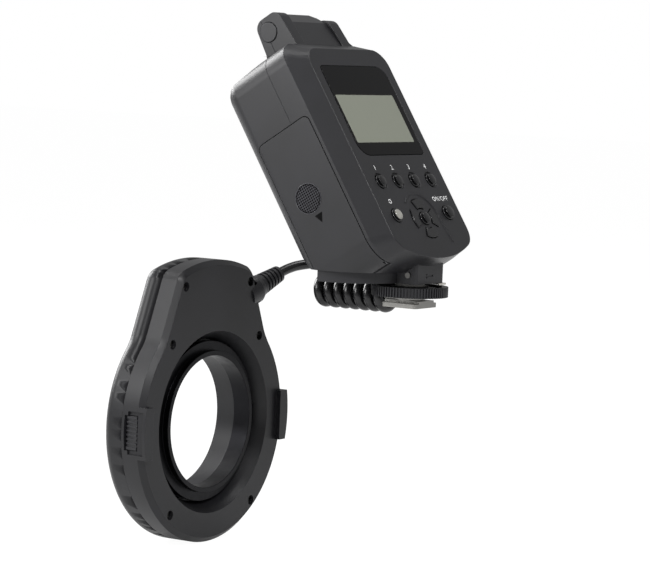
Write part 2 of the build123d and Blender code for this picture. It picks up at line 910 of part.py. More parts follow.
# Four cells standing side by side, every second one upside down
cell_step = 2 * (cell_radius + cell_play)
cell_places = []
for column in range(2):
    for deep in range(2):
        x = bay_left + cell_step / 2 + column * cell_step
        depth = tray_depth + tray_wall + cell_step / 2 + deep * cell_step
        cell_places.append((x, depth, (column + deep) % 2 == 0))


def rise_plane(height):
    """A sketch plane across the body at a height up the panel, drawn as x and depth."""
    return Plane(origin=panel.origin + up_panel * height, x_dir=(1, 0, 0), z_dir=up_panel)


bay_top = bay_low + bay_high
with BuildPart() as battery_cells:
    for x, depth, upright in cell_places:
        foot = bay_low + (spring_room if upright else contact_thickness + cell_nub)
        with BuildSketch(rise_plane(foot)):
            with Locations((x, depth)):
                Circle(cell_radius)
        extrude(amount=cell_length)
        tip = foot + cell_length if upright else foot - cell_nub
        with BuildSketch(rise_plane(tip)):
            with Locations((x, depth)):
                Circle(cell_nub_radius)
        extrude(amount=cell_nub)
battery_cells.part.label = "battery_cells"
export_step(battery_cells.part, "parts/battery_cells.step")

# Sprung contact at one end of each cell, flat contact at the other
with BuildPart() as battery_contacts:
    for x, depth, upright in cell_places:
        for height, sprung, inward in ((bay_low, upright, 1), (bay_top, not upright, -1)):
            with BuildSketch(rise_plane(height)):
                with Locations((x, depth)):
                    Rectangle(2 * cell_radius - cell_nub, 2 * cell_radius - cell_nub)
            extrude(amount=inward * contact_thickness)
            if sprung:
                with BuildSketch(rise_plane(height)):
                    with Locations((x, depth)):
                        Circle(spring_radius)
                extrude(amount=inward * spring_room)
battery_contacts.part.label = "battery_contacts"
export_step(battery_contacts.part, "parts/battery_contacts.step")

# Power board with the capacitor and charging coil standing on it
power_board_right = body_width / 2 - wall - slip
with BuildPart() as power_board:
    with BuildSketch(panel_plane(power_board_depth)):
        with Locations(
            ((power_board_left + power_board_right) / 2, (power_board_low + power_board_high) / 2)
        ):
            Rectangle(power_board_right - power_board_left, power_board_high - power_board_low)
    extrude(amount=-board_thickness)
power_board.part.label = "power_board"
export_step(power_board.part, "parts/power_board.step")

component_seat = power_board_depth + board_thickness
bay_right = bay_left + 2 * cell_step
side_room = body_width / 2 - wall - bay_right
capacitor_x = bay_right + capacitor_place_share * side_room
capacitor_radius = capacitor_share * side_room
with BuildPart() as main_capacitor:
    with BuildSketch(rise_plane(capacitor_low)):
        with Locations((capacitor_x, component_seat + capacitor_radius)):
            Circle(capacitor_radius)
    extrude(amount=capacitor_length)
    fillet(main_capacitor.edges().filter_by(GeomType.CIRCLE), screw_head_height)
main_capacitor.part.label = "main_capacitor"
export_step(main_capacitor.part, "parts/main_capacitor.step")

with BuildPart() as charging_coil:
    with BuildSketch(panel_plane(component_seat)):
        with Locations((capacitor_x, coil_low + coil_size / 2)):
            RectangleRounded(coil_size, coil_size, screw_head_height)
    extrude(amount=-coil_height)
charging_coil.part.label = "charging_coil"
export_step(charging_coil.part, "parts/charging_coil.step")

# Shoe foot: a metal plate, a narrow neck between the rails and a stem up into the base
with BuildPart() as shoe_foot:
    with BuildSketch(Plane.XY):
        RectangleRounded(foot_width, foot_length, foot_corner)
    extrude(amount=foot_thickness)
    with BuildSketch(Plane.XY.offset(foot_thickness)):
        Rectangle(rail_neck_width, foot_length)
    extrude(amount=rail_neck_height)
    with BuildSketch(Plane.XY.offset(foot_thickness)):
        Circle(stem_radius)
    extrude(amount=base_bottom - foot_thickness)
    with BuildSketch(Plane.XY):
        with Locations((0, lock_pin_y)):
            Circle(lock_pin_radius + running)
    extrude(amount=base_bottom, mode=Mode.SUBTRACT)
    with BuildSketch(Plane.XY):
        with Locations(*contact_places):
            Circle(contact_radius + running)
    extrude(amount=contact_length + lock_pin_travel, mode=Mode.SUBTRACT)
shoe_foot.part.label = "shoe_foot"
export_step(shoe_foot.part, "parts/shoe_foot.step")

# Sprung contacts under the foot
with BuildPart() as contact_pins:
    with BuildSketch(Plane.XY.offset(-contact_proud)):
        with Locations(*contact_places):
            Circle(contact_radius)
    extrude(amount=contact_length)
contact_pins.part.label = "contact_pins"
export_step(contact_pins.part, "parts/contact_pins.step")

# Lock pin and lock plate, both pushed down as the wheel is turned
with BuildPart() as lock_pin:
    with BuildSketch(Plane.XY.offset(lock_pin_rest)):
        with Locations((0, lock_pin_y)):
            Circle(lock_pin_radius)
    extrude(amount=base_bottom - lock_pin_rest)
lock_pin.part.label = "lock_pin"
export_step(lock_pin.part, "parts/lock_pin.step")

with BuildPart() as lock_plate:
    with BuildSketch(Plane.XY.offset(lock_plate_rest)):
        RectangleRounded(lock_plate_width, lock_plate_length, foot_corner)
        Circle(stem_radius + running, mode=Mode.SUBTRACT)
    extrude(amount=lock_plate_thickness)
lock_plate.part.label = "lock_plate"
export_step(lock_plate.part, "parts/lock_plate.step")

# Lock wheel, ribbed round its rim
rib_pitch = 2 * pi * wheel_radius / wheel_ribs
with BuildPart() as lock_wheel:
    with BuildSketch(Plane.XY.offset(wheel_bottom)):
        Circle(wheel_radius)
        Circle(stem_radius + running, mode=Mode.SUBTRACT)
    extrude(amount=wheel_thickness)
    with BuildSketch(Plane.XY.offset(wheel_bottom + wheel_thickness)):
        Circle(wheel_dish_radius)
        Circle(stem_radius + 2 * wheel_dish, mode=Mode.SUBTRACT)
    extrude(amount=-wheel_dish, mode=Mode.SUBTRACT)
    with BuildSketch(Plane.XY.offset(wheel_bottom)):
        with PolarLocations(wheel_radius, wheel_ribs):
            Rectangle(2 * wheel_rib_depth, rib_pitch / 2)
    extrude(amount=wheel_thickness, mode=Mode.SUBTRACT)
lock_wheel.part.label = "lock_wheel"
export_step(lock_wheel.part, "parts/lock_wheel.step")

# Bright spring clip under the neck that clicks on the wheel
with BuildPart() as stop_clip:
    with BuildSketch(Plane.XY.offset(base_bottom - stop_clip_thickness)):
        with Locations((stop_clip_x - stop_clip_width, stop_clip_rear)):
            Rectangle(stop_clip_width, stop_clip_length, align=(Align.MIN, Align.MIN))
    extrude(amount=stop_clip_thickness)
    with BuildSketch(Plane.XY.offset(base_bottom - stop_clip_drop)):
        with Locations((stop_clip_x - stop_clip_width, stop_clip_rear)):
            Rectangle(stop_clip_width, stop_clip_thickness, align=(Align.MIN, Align.MIN))
    extrude(amount=stop_clip_drop)
stop_clip.part.label = "stop_clip"
export_step(stop_clip.part, "parts/stop_clip.step")

# Flash ring's rear cover: a dished mouth for the lens, a wall round it, seats for the buttons
button_face = ring_radius - release_recess_sink
with BuildPart() as ring_rear_cover:
    with BuildSketch(ring_plane(0)):
        add(ring_shape)
    extrude(amount=-ring_parting)
    chamfer(ring_rear_cover.faces().sort_by(Axis.Y)[0].edges(), ring_rear_bevel)
    with BuildSketch(ring_plane(-release_bulge)):
        with Locations((-ring_radius, release_centre), (ring_radius, release_centre)):
            Rectangle(2 * release_bulge_width, release_bulge_length)
        Circle(ring_radius, mode=Mode.INTERSECT)
    extrude(amount=-release_bulge - ring_rear_bevel)
    with BuildSketch(ring_plane(ring_wall)):
        add(ring_hollow)
    extrude(amount=ring_wall - ring_parting, mode=Mode.SUBTRACT)
    with BuildSketch(ring_plane(0)):
        Circle(mouth_radius + bore_wall)
    with BuildSketch(ring_plane(funnel_depth)):
        Circle(throat_radius + bore_wall)
    loft()
    with BuildSketch(ring_plane(funnel_depth)):
        Circle(throat_radius + bore_wall)
    extrude(amount=funnel_depth - ring_parting)
    with BuildSketch(ring_plane(0)):
        Circle(mouth_radius)
    with BuildSketch(ring_plane(funnel_depth)):
        Circle(throat_radius)
    loft(mode=Mode.SUBTRACT)
    with BuildSketch(ring_plane(funnel_depth)):
        Circle(throat_radius)
    extrude(amount=funnel_depth - ring_parting, mode=Mode.SUBTRACT)
    with BuildSketch(ring_plane(ring_wall)):
        with Locations(*ring_screw_places):
            Circle(ring_boss_radius)
    extrude(amount=ring_wall - ring_parting)
    with BuildSketch(ring_plane(ring_wall)):
        with Locations((-button_face, release_centre), (button_face, release_centre)):
            Rectangle(2 * release_pad, release_bulge_length)
        Circle(ring_radius, mode=Mode.INTERSECT)
    extrude(amount=ring_wall - ring_parting)
    with BuildSketch(ring_plane(0)):
        with Locations(*ring_screw_places):
            Circle(ring_screw_hole)
    extrude(amount=-ring_screw_seat, mode=Mode.SUBTRACT)
    with BuildSketch(ring_plane(0)):
        with Locations(*ring_screw_places):
            Circle(screw_shank_radius)
    extrude(amount=-ring_parting, mode=Mode.SUBTRACT)
    with BuildSketch(ring_plane(release_recess_depth)):
        with Locations(
            (-button_face - release_pad, release_centre), (button_face + release_pad, release_centre)
        ):
            Rectangle(2 * release_pad, release_recess_length)
    extrude(amount=-release_recess_height, mode=Mode.SUBTRACT)
    with BuildSketch(ring_plane(release_depth - seam)):
        with Locations((-ring_radius, release_centre), (ring_radius, release_centre)):
            Rectangle(4 * release_pad, release_length + 2 * seam)
    extrude(amount=-release_height - 2 * seam, mode=Mode.SUBTRACT)
    for side, depth in zip((1, -1), yoke_depths):
        with BuildSketch(ring_plane(depth - slip)):
            with Locations((side * throat_radius, 0)):
                Rectangle(2 * (yoke_inner - throat_radius), claw_width + 2 * slip)
        extrude(amount=-yoke_thickness - 2 * slip, mode=Mode.SUBTRACT)
    with BuildSketch(ring_plane(ring_wall)):
        for side in (-1, 1):
            with Locations((side * spring_post_x, release_centre)):
                Rectangle(release_spring_post, 2 * release_spring_spread + 4 * release_spring_radius)
    extrude(amount=ring_wall - yoke_depths[0] + slip)
ring_rear_cover.part.label = "ring_rear_cover"
export_step(ring_rear_cover.part, "parts/ring_rear_cover.step")

# Flash ring's front cover: windows to each side, a lamp above and below, a plain bore
def window_sector(side, gap):
    """One flash window seen from behind, an arched slot centred on its side."""
    half_angle = window_angle + degrees(gap / window_outer)
    inner = window_inner - gap
    outer = window_outer + gap
    first = radians(-half_angle)
    last = radians(half_angle)
    with BuildSketch() as outline:
        with BuildLine():
            rim = ThreePointArc(
                (side * outer * cos(first), outer * sin(first)),
                (side * outer, 0),
                (side * outer * cos(last), outer * sin(last)),
            )
            root = ThreePointArc(
                (side * inner * cos(last), inner * sin(last)),
                (side * inner, 0),
                (side * inner * cos(first), inner * sin(first)),
            )
            Line(rim @ 1, root @ 0)
            Line(root @ 1, rim @ 0)
        make_face()
        fillet(outline.vertices(), window_corner)
    return outline.sketch


with BuildPart() as ring_front_cover:
    with BuildSketch(ring_plane(ring_parting)):
        add(ring_shape)
    extrude(amount=ring_parting - ring_thickness)
    fillet(ring_front_cover.faces().sort_by(Axis.Y)[-1].edges(), ring_front_round)
    with BuildSketch(ring_plane(ring_parting)):
        add(ring_hollow)
        Circle(bore_radius + bore_wall, mode=Mode.SUBTRACT)
    extrude(amount=ring_parting + ring_wall - ring_thickness, mode=Mode.SUBTRACT)
    with BuildSketch(ring_plane(ring_parting + seam)):
        Circle(throat_radius + bore_wall)
    extrude(amount=-throat_plate)
    with BuildSketch(ring_plane(ring_parting)):
        Circle(bore_radius)
    extrude(amount=ring_parting - ring_thickness, mode=Mode.SUBTRACT)
    with BuildSketch(ring_plane(ring_parting)):
        Circle(throat_radius)
    extrude(amount=-seam, mode=Mode.SUBTRACT)
    for side in (-1, 1):
        with BuildSketch(ring_plane(ring_parting + throat_plate + seam)):
            add(window_sector(side, seam))
        extrude(amount=ring_parting - ring_thickness, mode=Mode.SUBTRACT)
    with BuildSketch(ring_plane(ring_parting + throat_plate + seam)):
        with Locations((0, -lamp_row), (0, lamp_row)):
            Circle(lamp_radius + seam)
    extrude(amount=ring_parting - ring_thickness, mode=Mode.SUBTRACT)
ring_front_cover.part.label = "ring_front_cover"
export_step(ring_front_cover.part, "parts/ring_front_cover.step")

# Diffusers: one clear window each side, with a lip behind the front cover
for name, side in (("left_diffuser", -1), ("right_diffuser", 1)):
    with BuildPart() as diffuser:
        with BuildSketch(ring_plane(ring_thickness)):
            add(window_sector(side, 0))
        extrude(amount=diffuser_thickness)
    diffuser.part.label = name
    export_step(diffuser.part, "parts/" + name + ".step")

# Reflector troughs behind the diffusers
for name, side in (("left_reflector", -1), ("right_reflector", 1)):
    with BuildPart() as reflector:
        with BuildSketch(ring_plane(ring_thickness - diffuser_thickness)):
            add(window_sector(side, 0))
        extrude(amount=trough_depth)
        with BuildSketch(ring_plane(ring_thickness - diffuser_thickness)):
            add(window_sector(side, -trough_wall))
        extrude(amount=trough_depth - trough_wall, mode=Mode.SUBTRACT)
    reflector.part.label = name
    export_step(reflector.part, "parts/" + name + ".step")

# Curved flash tubes, each with a metal cap at both ends
tube_row = (window_inner + window_outer) / 2
tube_depth = ring_thickness - diffuser_thickness - (trough_depth - trough_wall) / 2
with BuildPart() as flash_tubes:
    for side in (-1, 1):
        with BuildLine(ring_plane(tube_depth)) as tube_path:
            ThreePointArc(
                (side * tube_row * cos(radians(tube_angle)), -tube_row * sin(radians(tube_angle))),
                (side * tube_row, 0),
                (side * tube_row * cos(radians(tube_angle)), tube_row * sin(radians(tube_angle))),
            )
        with BuildSketch(Plane(origin=tube_path.line @ 0, z_dir=tube_path.line % 0)):
            Circle(tube_radius)
        sweep(path=tube_path.line)
flash_tubes.part.label = "flash_tubes"
export_step(flash_tubes.part, "parts/flash_tubes.step")

# Focusing lamps above and below the lens
with BuildPart() as focusing_lamps:
    with BuildSketch(ring_plane(ring_thickness)):
        with Locations((0, -lamp_row), (0, lamp_row)):
            Circle(lamp_radius)
    extrude(amount=lamp_length)
focusing_lamps.part.label = "focusing_lamps"
export_step(focusing_lamps.part, "parts/focusing_lamps.step")

# Trigger board in the lobe
with BuildPart() as ring_board:
    with BuildSketch(ring_plane(ring_parting)):
        add(ring_outline(ring_board_inset))
        with Locations((0, ring_board_low)):
            Rectangle(4 * ring_radius, 4 * ring_radius, align=(Align.CENTER, Align.MAX), mode=Mode.SUBTRACT)
        with Locations(*ring_screw_places):
            Circle(ring_boss_radius + seam, mode=Mode.SUBTRACT)
    extrude(amount=-ring_board_thickness)
ring_board.part.label = "ring_board"
export_step(ring_board.part, "parts/ring_board.step")

# Screws sunk in the ring's rear cover
with BuildPart() as ring_screws:
    with BuildSketch(ring_plane(ring_screw_seat)):
        with Locations(*ring_screw_places):
            Circle(ring_screw_radius)
    extrude(amount=screw_head_height)
    with BuildSketch(ring_plane(ring_screw_seat)):
        with Locations(*ring_screw_places):
            Circle(screw_shank_radius)
    extrude(amount=ring_screw_seat - ring_parting)
ring_screws.part.label = "ring_screws"
export_step(ring_screws.part, "parts/ring_screws.step")

# Release buttons: each is one piece with a yoke whose claw grips the adapter's far side
for name, side, depth in (("left_release", -1, yoke_depths[0]), ("right_release", 1, yoke_depths[1])):
    with BuildPart() as release:
        with BuildSketch(ring_plane(release_depth)):
            with Locations((side * (button_face + release_proud), release_centre)):
                Rectangle(
                    release_body,
                    release_length,
                    align=(Align.MAX if side > 0 else Align.MIN, Align.CENTER),
                )
        extrude(amount=-release_height)
        with BuildSketch(ring_plane(release_depth)):
            with Locations((side * (button_face + release_proud), release_centre)):
                with GridLocations(0, release_length / (release_ribs + 1), 1, release_ribs):
                    Rectangle(2 * release_rib_depth, release_length / (release_ribs + 1) / 2)
        extrude(amount=-release_height, mode=Mode.SUBTRACT)
        with BuildSketch(ring_plane(depth)):
            Circle(yoke_outer)
            with Locations((side * yoke_outer, release_centre)):
                Rectangle(2 * (button_face - release_body - yoke_outer + release_proud), yoke_arm)
            Circle(yoke_inner, mode=Mode.SUBTRACT)
            with Locations((-side * yoke_inner, 0)):
                Rectangle(
                    yoke_inner - claw_tip + yoke_outer - yoke_inner,
                    claw_width,
                    align=(Align.MIN if side > 0 else Align.MAX, Align.CENTER),
                )
            Circle(claw_tip, mode=Mode.SUBTRACT)
        extrude(amount=-yoke_thickness)
    release.part.label = name
    export_step(release.part, "parts/" + name + ".step")

# Springs behind the release buttons, drawn at their pressed length
with BuildPart() as release_springs:
    for side in (-1, 1):
        for rise in (-release_spring_spread, release_spring_spread):
            seat = Plane(
                origin=ring_plane(release_spring_depth).origin
                + Vector(side * (spring_post_x + release_spring_post / 2), 0, release_centre + rise),
                z_dir=(side, 0, 0),
            )
            with BuildSketch(seat):
                Circle(release_spring_radius)
                Circle(release_spring_radius / 2, mode=Mode.SUBTRACT)
            extrude(amount=release_spring_length)
release_springs.part.label = "release_springs"
export_step(release_springs.part, "parts/release_springs.step")

# Lens adapter: a threaded ring with a groove for the claws
with BuildPart() as lens_adapter:
    with BuildSketch(ring_plane(adapter_depth)):
        Circle(adapter_flange_radius)
        Circle(adapter_bore_radius, mode=Mode.SUBTRACT)
    extrude(amount=adapter_depth - adapter_front)
    with BuildSketch(ring_plane(adapter_depth - adapter_thread_length)):
        Circle(adapter_thread_radius)
        Circle(adapter_bore_radius, mode=Mode.SUBTRACT)
    extrude(amount=-adapter_thread_length)
    with BuildSketch(ring_plane(adapter_groove_near)):
        Circle(adapter_flange_radius + overrun)
        Circle(adapter_groove_floor, mode=Mode.SUBTRACT)
    extrude(amount=adapter_groove_near - adapter_groove_far, mode=Mode.SUBTRACT)
lens_adapter.part.label = "lens_adapter"
export_step(lens_adapter.part, "parts/lens_adapter.step")

# Boot that guides the cord out of the ring's lobe
with BuildPart() as ring_block:
    with BuildSketch(ring_plane(0)):
        add(ring_shape)
    extrude(amount=-ring_thickness)

boot = Plane(origin=boot_at, z_dir=boot_direction)
with BuildPart() as cord_boot:
    with BuildSketch(boot.offset(-boot_sink)):
        Circle(boot_base_radius)
    extrude(amount=boot_sink + boot_collar / 2)
    with BuildSketch(boot.offset(boot_collar / 2)):
        Circle(boot_base_radius)
    with BuildSketch(boot.offset(boot_collar)):
        Circle(boot_waist_radius)
    loft()
    with BuildSketch(boot.offset(boot_collar)):
        Circle(boot_waist_radius)
    with BuildSketch(boot.offset(boot_length)):
        Circle(boot_tip_radius)
    loft()
    rib_room = (boot_length - boot_collar) / (boot_ribs + 1)
    for number in range(boot_ribs):
        rise = boot_collar + (number + 1) * rib_room
        rim = boot_waist_radius + (boot_tip_radius - boot_waist_radius) * (number + 1) / (boot_ribs + 1)
        with BuildSketch(boot.offset(rise - rib_room / 4)):
            Circle(boot_base_radius)
            Circle(rim - boot_rib_depth, mode=Mode.SUBTRACT)
        extrude(amount=rib_room / 2, mode=Mode.SUBTRACT)
    add(ring_block.part, mode=Mode.SUBTRACT)
cord_boot.part.label = "cord_boot"
export_step(cord_boot.part, "parts/cord_boot.step")

# Cord: a free lead from the boot, then the curls, then a gland in the base


def curl_point(turn):
    """Where the curl's centre line is after so many turns, starting from its top."""
    angle = radians(90 + 360 * turn)
    return Vector(
        curl_x + curl_radius * cos(angle), curl_y - curl_pitch * turn, curl_z + curl_radius * sin(angle)
    )


def curl_heading(turn):
    """Which way the curl's centre line runs after so many turns."""
    angle = radians(90 + 360 * turn)
    around = 2 * pi * curl_radius
    return Vector(-around * sin(angle), -curl_pitch, around * cos(angle)).normalized()


def biarc_joint(start, end, first, last):
    """Where two arcs meet that leave start along first and reach end along last."""
    across = end - start
    turning = 1 - first.dot(last)
    along = across.dot(first + last)
    reach = (sqrt(along**2 + 2 * turning * across.dot(across)) - along) / (2 * turning)
    return (start + first * reach + end - last * reach) * 0.5, (end - last * reach - start - first * reach)


curl_steps = round(4 * curl_turns)
coil_start = curl_point(0) - curl_heading(0) * cord_diameter
with BuildPart() as cord_coil:
    with BuildLine() as coil_path:
        Line(coil_start, curl_point(0))
        for step in range(curl_steps):
            start, end = curl_point(step / 4), curl_point((step + 1) / 4)
            first, last = curl_heading(step / 4), curl_heading((step + 1) / 4)
            joint, heading = biarc_joint(start, end, first, last)
            TangentArc(start, joint, tangent=first)
            TangentArc(joint, end, tangent=heading.normalized())
        Line(curl_point(curl_turns), curl_point(curl_turns) + curl_heading(curl_turns) * cord_diameter)
    with BuildSketch(Plane(origin=coil_start, z_dir=curl_heading(0))):
        Circle(cord_diameter / 2)
    sweep(path=coil_path.line)
cord_coil.part.label = "cord_coil"
export_step(cord_coil.part, "parts/cord_coil.step")
coil_length = sum(edge.length for edge in coil_path.edges())
curl_gap = (
    min(
        (curl_point(near / curl_samples) - curl_point(far / curl_samples)).length
        for near in range(int(curl_turns * curl_samples))
        for far in range(near + curl_samples // 2, int(curl_turns * curl_samples) + 1)
    )
    - cord_diameter
)
print("curl's least gap to itself", round(curl_gap, 2))
print("coil length", coil_length, "volume share", cord_coil.part.volume / (coil_length * pi * cord_diameter**2 / 4))

lead_start = boot.origin + boot.z_dir * boot_length
lead_points = [lead_start] + [Vector(*point) for point in cord_route] + [coil_start]
lead_radii = []
for before, corner, after in zip(lead_points, lead_points[1:], lead_points[2:]):
    turn = radians((corner - before).get_angle(after - corner))
    shorter = min((corner - before).length, (after - corner).length)
    lead_radii.append(lead_round_share * shorter / tan(turn / 2))
print("lead radii", [round(radius, 1) for radius in lead_radii])
with BuildPart() as cord_lead:
    with BuildLine() as lead_path:
        FilletPolyline(*lead_points, radius=lead_radii)
    with BuildSketch(Plane(origin=lead_start, z_dir=lead_points[1] - lead_points[0])):
        Circle(cord_diameter / 2)
    sweep(path=lead_path.line)
cord_lead.part.label = "cord_lead"
export_step(cord_lead.part, "parts/cord_lead.step")
lead_length = sum(edge.length for edge in lead_path.edges())
print("lead length", lead_length, "volume share", cord_lead.part.volume / (lead_length * pi * cord_diameter**2 / 4))

# Gland where the cord enters the base from below
coil_end = curl_point(curl_turns) + curl_heading(curl_turns) * cord_diameter
gland_heading = curl_heading(curl_turns)
gland_top = coil_end + gland_heading * (base_bottom - coil_end.Z)
gland_seat = (gland_top.X, gland_top.Y)
with BuildPart() as base_gland:
    with BuildSketch(Plane(origin=coil_end, z_dir=gland_heading)):
        Circle(gland_tip_radius)
    with BuildSketch(Plane.XY.offset(base_bottom)):
        with Locations(gland_seat):
            Circle(gland_radius)
    loft()
base_gland.part.label = "base_gland"
export_step(base_gland.part, "parts/base_gland.step")
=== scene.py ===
# Looks of the macro ring flash: a tilted control unit on a hot-shoe foot, a flash ring and the
# curly cord between them. Metres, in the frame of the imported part: +X right seen from behind,
# +Y the way the flash fires, +Z up.

import json
from math import cos, pi, radians, sin

import bpy
from mathutils import Matrix, Vector

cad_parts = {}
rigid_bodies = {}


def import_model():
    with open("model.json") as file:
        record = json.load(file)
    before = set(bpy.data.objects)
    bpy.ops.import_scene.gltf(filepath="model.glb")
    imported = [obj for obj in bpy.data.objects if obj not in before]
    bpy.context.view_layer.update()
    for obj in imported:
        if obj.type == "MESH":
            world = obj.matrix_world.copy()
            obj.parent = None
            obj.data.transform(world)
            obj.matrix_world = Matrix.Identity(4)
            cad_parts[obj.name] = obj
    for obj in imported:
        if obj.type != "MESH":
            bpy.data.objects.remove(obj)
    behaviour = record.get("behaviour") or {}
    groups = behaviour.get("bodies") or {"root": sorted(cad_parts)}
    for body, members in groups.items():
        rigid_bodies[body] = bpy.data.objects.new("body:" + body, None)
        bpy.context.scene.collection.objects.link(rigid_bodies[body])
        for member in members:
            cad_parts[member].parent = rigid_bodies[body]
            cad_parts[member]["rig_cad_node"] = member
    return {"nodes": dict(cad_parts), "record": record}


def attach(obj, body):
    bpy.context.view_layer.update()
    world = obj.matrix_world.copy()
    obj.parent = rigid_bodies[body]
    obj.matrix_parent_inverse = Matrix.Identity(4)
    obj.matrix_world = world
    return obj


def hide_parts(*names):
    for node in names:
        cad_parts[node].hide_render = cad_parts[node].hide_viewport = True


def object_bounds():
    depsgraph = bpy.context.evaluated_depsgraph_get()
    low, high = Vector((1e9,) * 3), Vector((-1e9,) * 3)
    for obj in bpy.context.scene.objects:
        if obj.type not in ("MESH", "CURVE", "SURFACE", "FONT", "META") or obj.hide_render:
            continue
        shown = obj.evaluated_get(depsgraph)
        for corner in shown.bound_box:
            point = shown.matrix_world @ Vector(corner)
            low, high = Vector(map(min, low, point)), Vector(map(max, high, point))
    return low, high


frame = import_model()
cad_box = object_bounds()
MM = 0.001
CONTROL = "control_unit"

# Places on the control unit, in millimetres, as the part has them
LEAN = radians(32.4)
PANEL = Vector((0, -12.5, 30.0))
UP = Vector((0, sin(LEAN), cos(LEAN)))
INTO = Vector((0, cos(LEAN), -sin(LEAN)))
RIGHT = Vector((1, 0, 0))
LCD_LOW, LCD_HIGH, LCD_LEFT, LCD_RIGHT = 50.7, 75.0, -24.8, 22.2
RIM_ACROSS, RIM_LOW, RIM_HIGH = 28.5, -1.0, 93.0
PARTING, RING_PARTING = 20.0, 116.0
SIDE_X, GRILLE_ROW, GRILLE_DEPTH, GRILLE_RADIUS = -36.5, 38.4, 28.3, 6.8
MARK_ROW, MARK_SHIFT, MARK_SIZE = 27.8, 1.4, 4.4
FUNCTION_ROW, FUNCTION_STEP = 31.2, 13.87
SIDE_KEY_X, SIDE_KEY_ROW, SET_ROW = 21.4, 14.0, 11.8


def on_panel(across, rise, lift=0):
    """A point on the leaning panel, lift above its face, in metres."""
    return (PANEL + RIGHT * across + UP * rise - INTO * lift) * MM


# Camera at the photograph's viewing angle
PHOTO_WIDTH, PHOTO_HEIGHT, SENSOR = 650, 568, 36
FOCAL_PIXELS, CENTRE_X, CENTRE_Y = 2851.2, 409.1, 306.6
AZIMUTH, ELEVATION, ROLL = radians(-56.39), radians(4.80), radians(2.23)
DISTANCE = 1.2757

back = Vector((sin(AZIMUTH) * cos(ELEVATION), -cos(AZIMUTH) * cos(ELEVATION), sin(ELEVATION)))
level = Vector((cos(AZIMUTH), sin(AZIMUTH), 0))
upright = back.cross(level)
right = level * cos(ROLL) + upright * sin(ROLL)
above = upright * cos(ROLL) - level * sin(ROLL)
aside = (CENTRE_X - PHOTO_WIDTH / 2) * DISTANCE / FOCAL_PIXELS
below = (CENTRE_Y - PHOTO_HEIGHT / 2) * DISTANCE / FOCAL_PIXELS
bpy.ops.object.select_all(action="DESELECT")
bpy.ops.object.camera_add()
camera = bpy.context.object
turned = Matrix((right, above, back)).transposed().to_4x4()
camera.matrix_world = Matrix.Translation(back * DISTANCE - right * aside + above * below) @ turned
camera.data.sensor_width = SENSOR
camera.data.lens = SENSOR * FOCAL_PIXELS / PHOTO_WIDTH
camera.data.clip_end = 50
bpy.context.scene.camera = camera

# Cord: one spline from the boot's tip, through the free lead, down the curls and into the base
CORD_DIAMETER, CORD_LENGTH = 4.8, 323
BOOT_AT = Vector((32.5, 110.4, -3.7))
BOOT_WAY = Vector((0.918, -0.145, 0.372))
BOOT_LENGTH = 21.0
CORD_ROUTE = (
    (59.4, 106.15, 7.2),
    (68.0, 99.8, 9.0),
    (71.5, 89.8, 10.2),
    (69.5, 79.5, 10.6),
    (62.5, 71.0, 10.2),
    (51.5, 65.6, 9.0),
    (36.0, 60.88, 7.1),
)
CURL_RADIUS, CURL_PITCH, CURL_TURNS = 5.1, 5.4, 6.75
CURL_X, CURL_Y, CURL_Z = 16.0, 57.5, 2.0
POINTS_A_TURN = 16


def curl_point(turn, radius):
    """A point of the curls' helix after so many turns from its top."""
    angle = pi / 2 + 2 * pi * turn
    across, down = CURL_X + radius * cos(angle), CURL_Z + radius * sin(angle)
    return Vector((across, CURL_Y - CURL_PITCH * turn, down))


def curl_heading(turn):
    """Which way the helix runs after so many turns."""
    angle = pi / 2 + 2 * pi * turn
    around = 2 * pi * CURL_RADIUS
    return Vector((-around * sin(angle), -CURL_PITCH, around * cos(angle))).normalized()


cord_exit = BOOT_AT + BOOT_WAY.normalized() * BOOT_LENGTH
# The spline cuts inside its control points, so those of the curls stand a little further out
curl_reach = CURL_RADIUS / (0.75 + 0.25 * cos(2 * pi / POINTS_A_TURN))
points = [cord_exit] + [Vector(place) for place in CORD_ROUTE]
points.append(curl_point(0, CURL_RADIUS) - curl_heading(0) * CORD_DIAMETER)
for step in range(round(CURL_TURNS * POINTS_A_TURN) + 1):
    points.append(curl_point(step / POINTS_A_TURN, curl_reach))
points.append(curl_point(CURL_TURNS, CURL_RADIUS) + curl_heading(CURL_TURNS) * CORD_DIAMETER)

line = bpy.data.curves.new("curly_cord", "CURVE")
line.dimensions = "3D"
spline = line.splines.new("NURBS")
spline.points.add(len(points) - 1)
for knot, place in zip(spline.points, points):
    knot.co = (*(place * MM), 1)
    knot.radius = CORD_DIAMETER / 2 * MM
spline.order_u = 3
spline.use_endpoint_u = True
line.resolution_u = 6
line.bevel_depth = 1
line.bevel_resolution = 7
line.use_fill_caps = True
cord = bpy.data.objects.new("curly_cord", line)
bpy.context.scene.collection.objects.link(cord)
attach(cord, CONTROL)
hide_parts("cord_lead", "cord_coil")


# Materials
def colour(code):
    """An sRGB hex colour as linear RGBA."""
    parts = [int(code[place : place + 2], 16) / 255 for place in (1, 3, 5)]
    return [v / 12.92 if v <= 0.04045 else ((v + 0.055) / 1.055) ** 2.4 for v in parts] + [1]


def node(tree, kind, links=(), **settings):
    """Adds one node. Settings are its properties or sockets; links are (output, socket) pairs."""
    made = tree.nodes.new(kind)
    for name, value in settings.items():
        if hasattr(made, name):
            setattr(made, name, value)
        else:
            made.inputs[name.replace("_", " ")].default_value = value
    for source, socket in links:
        tree.links.new(source, made.inputs[socket])
    return made


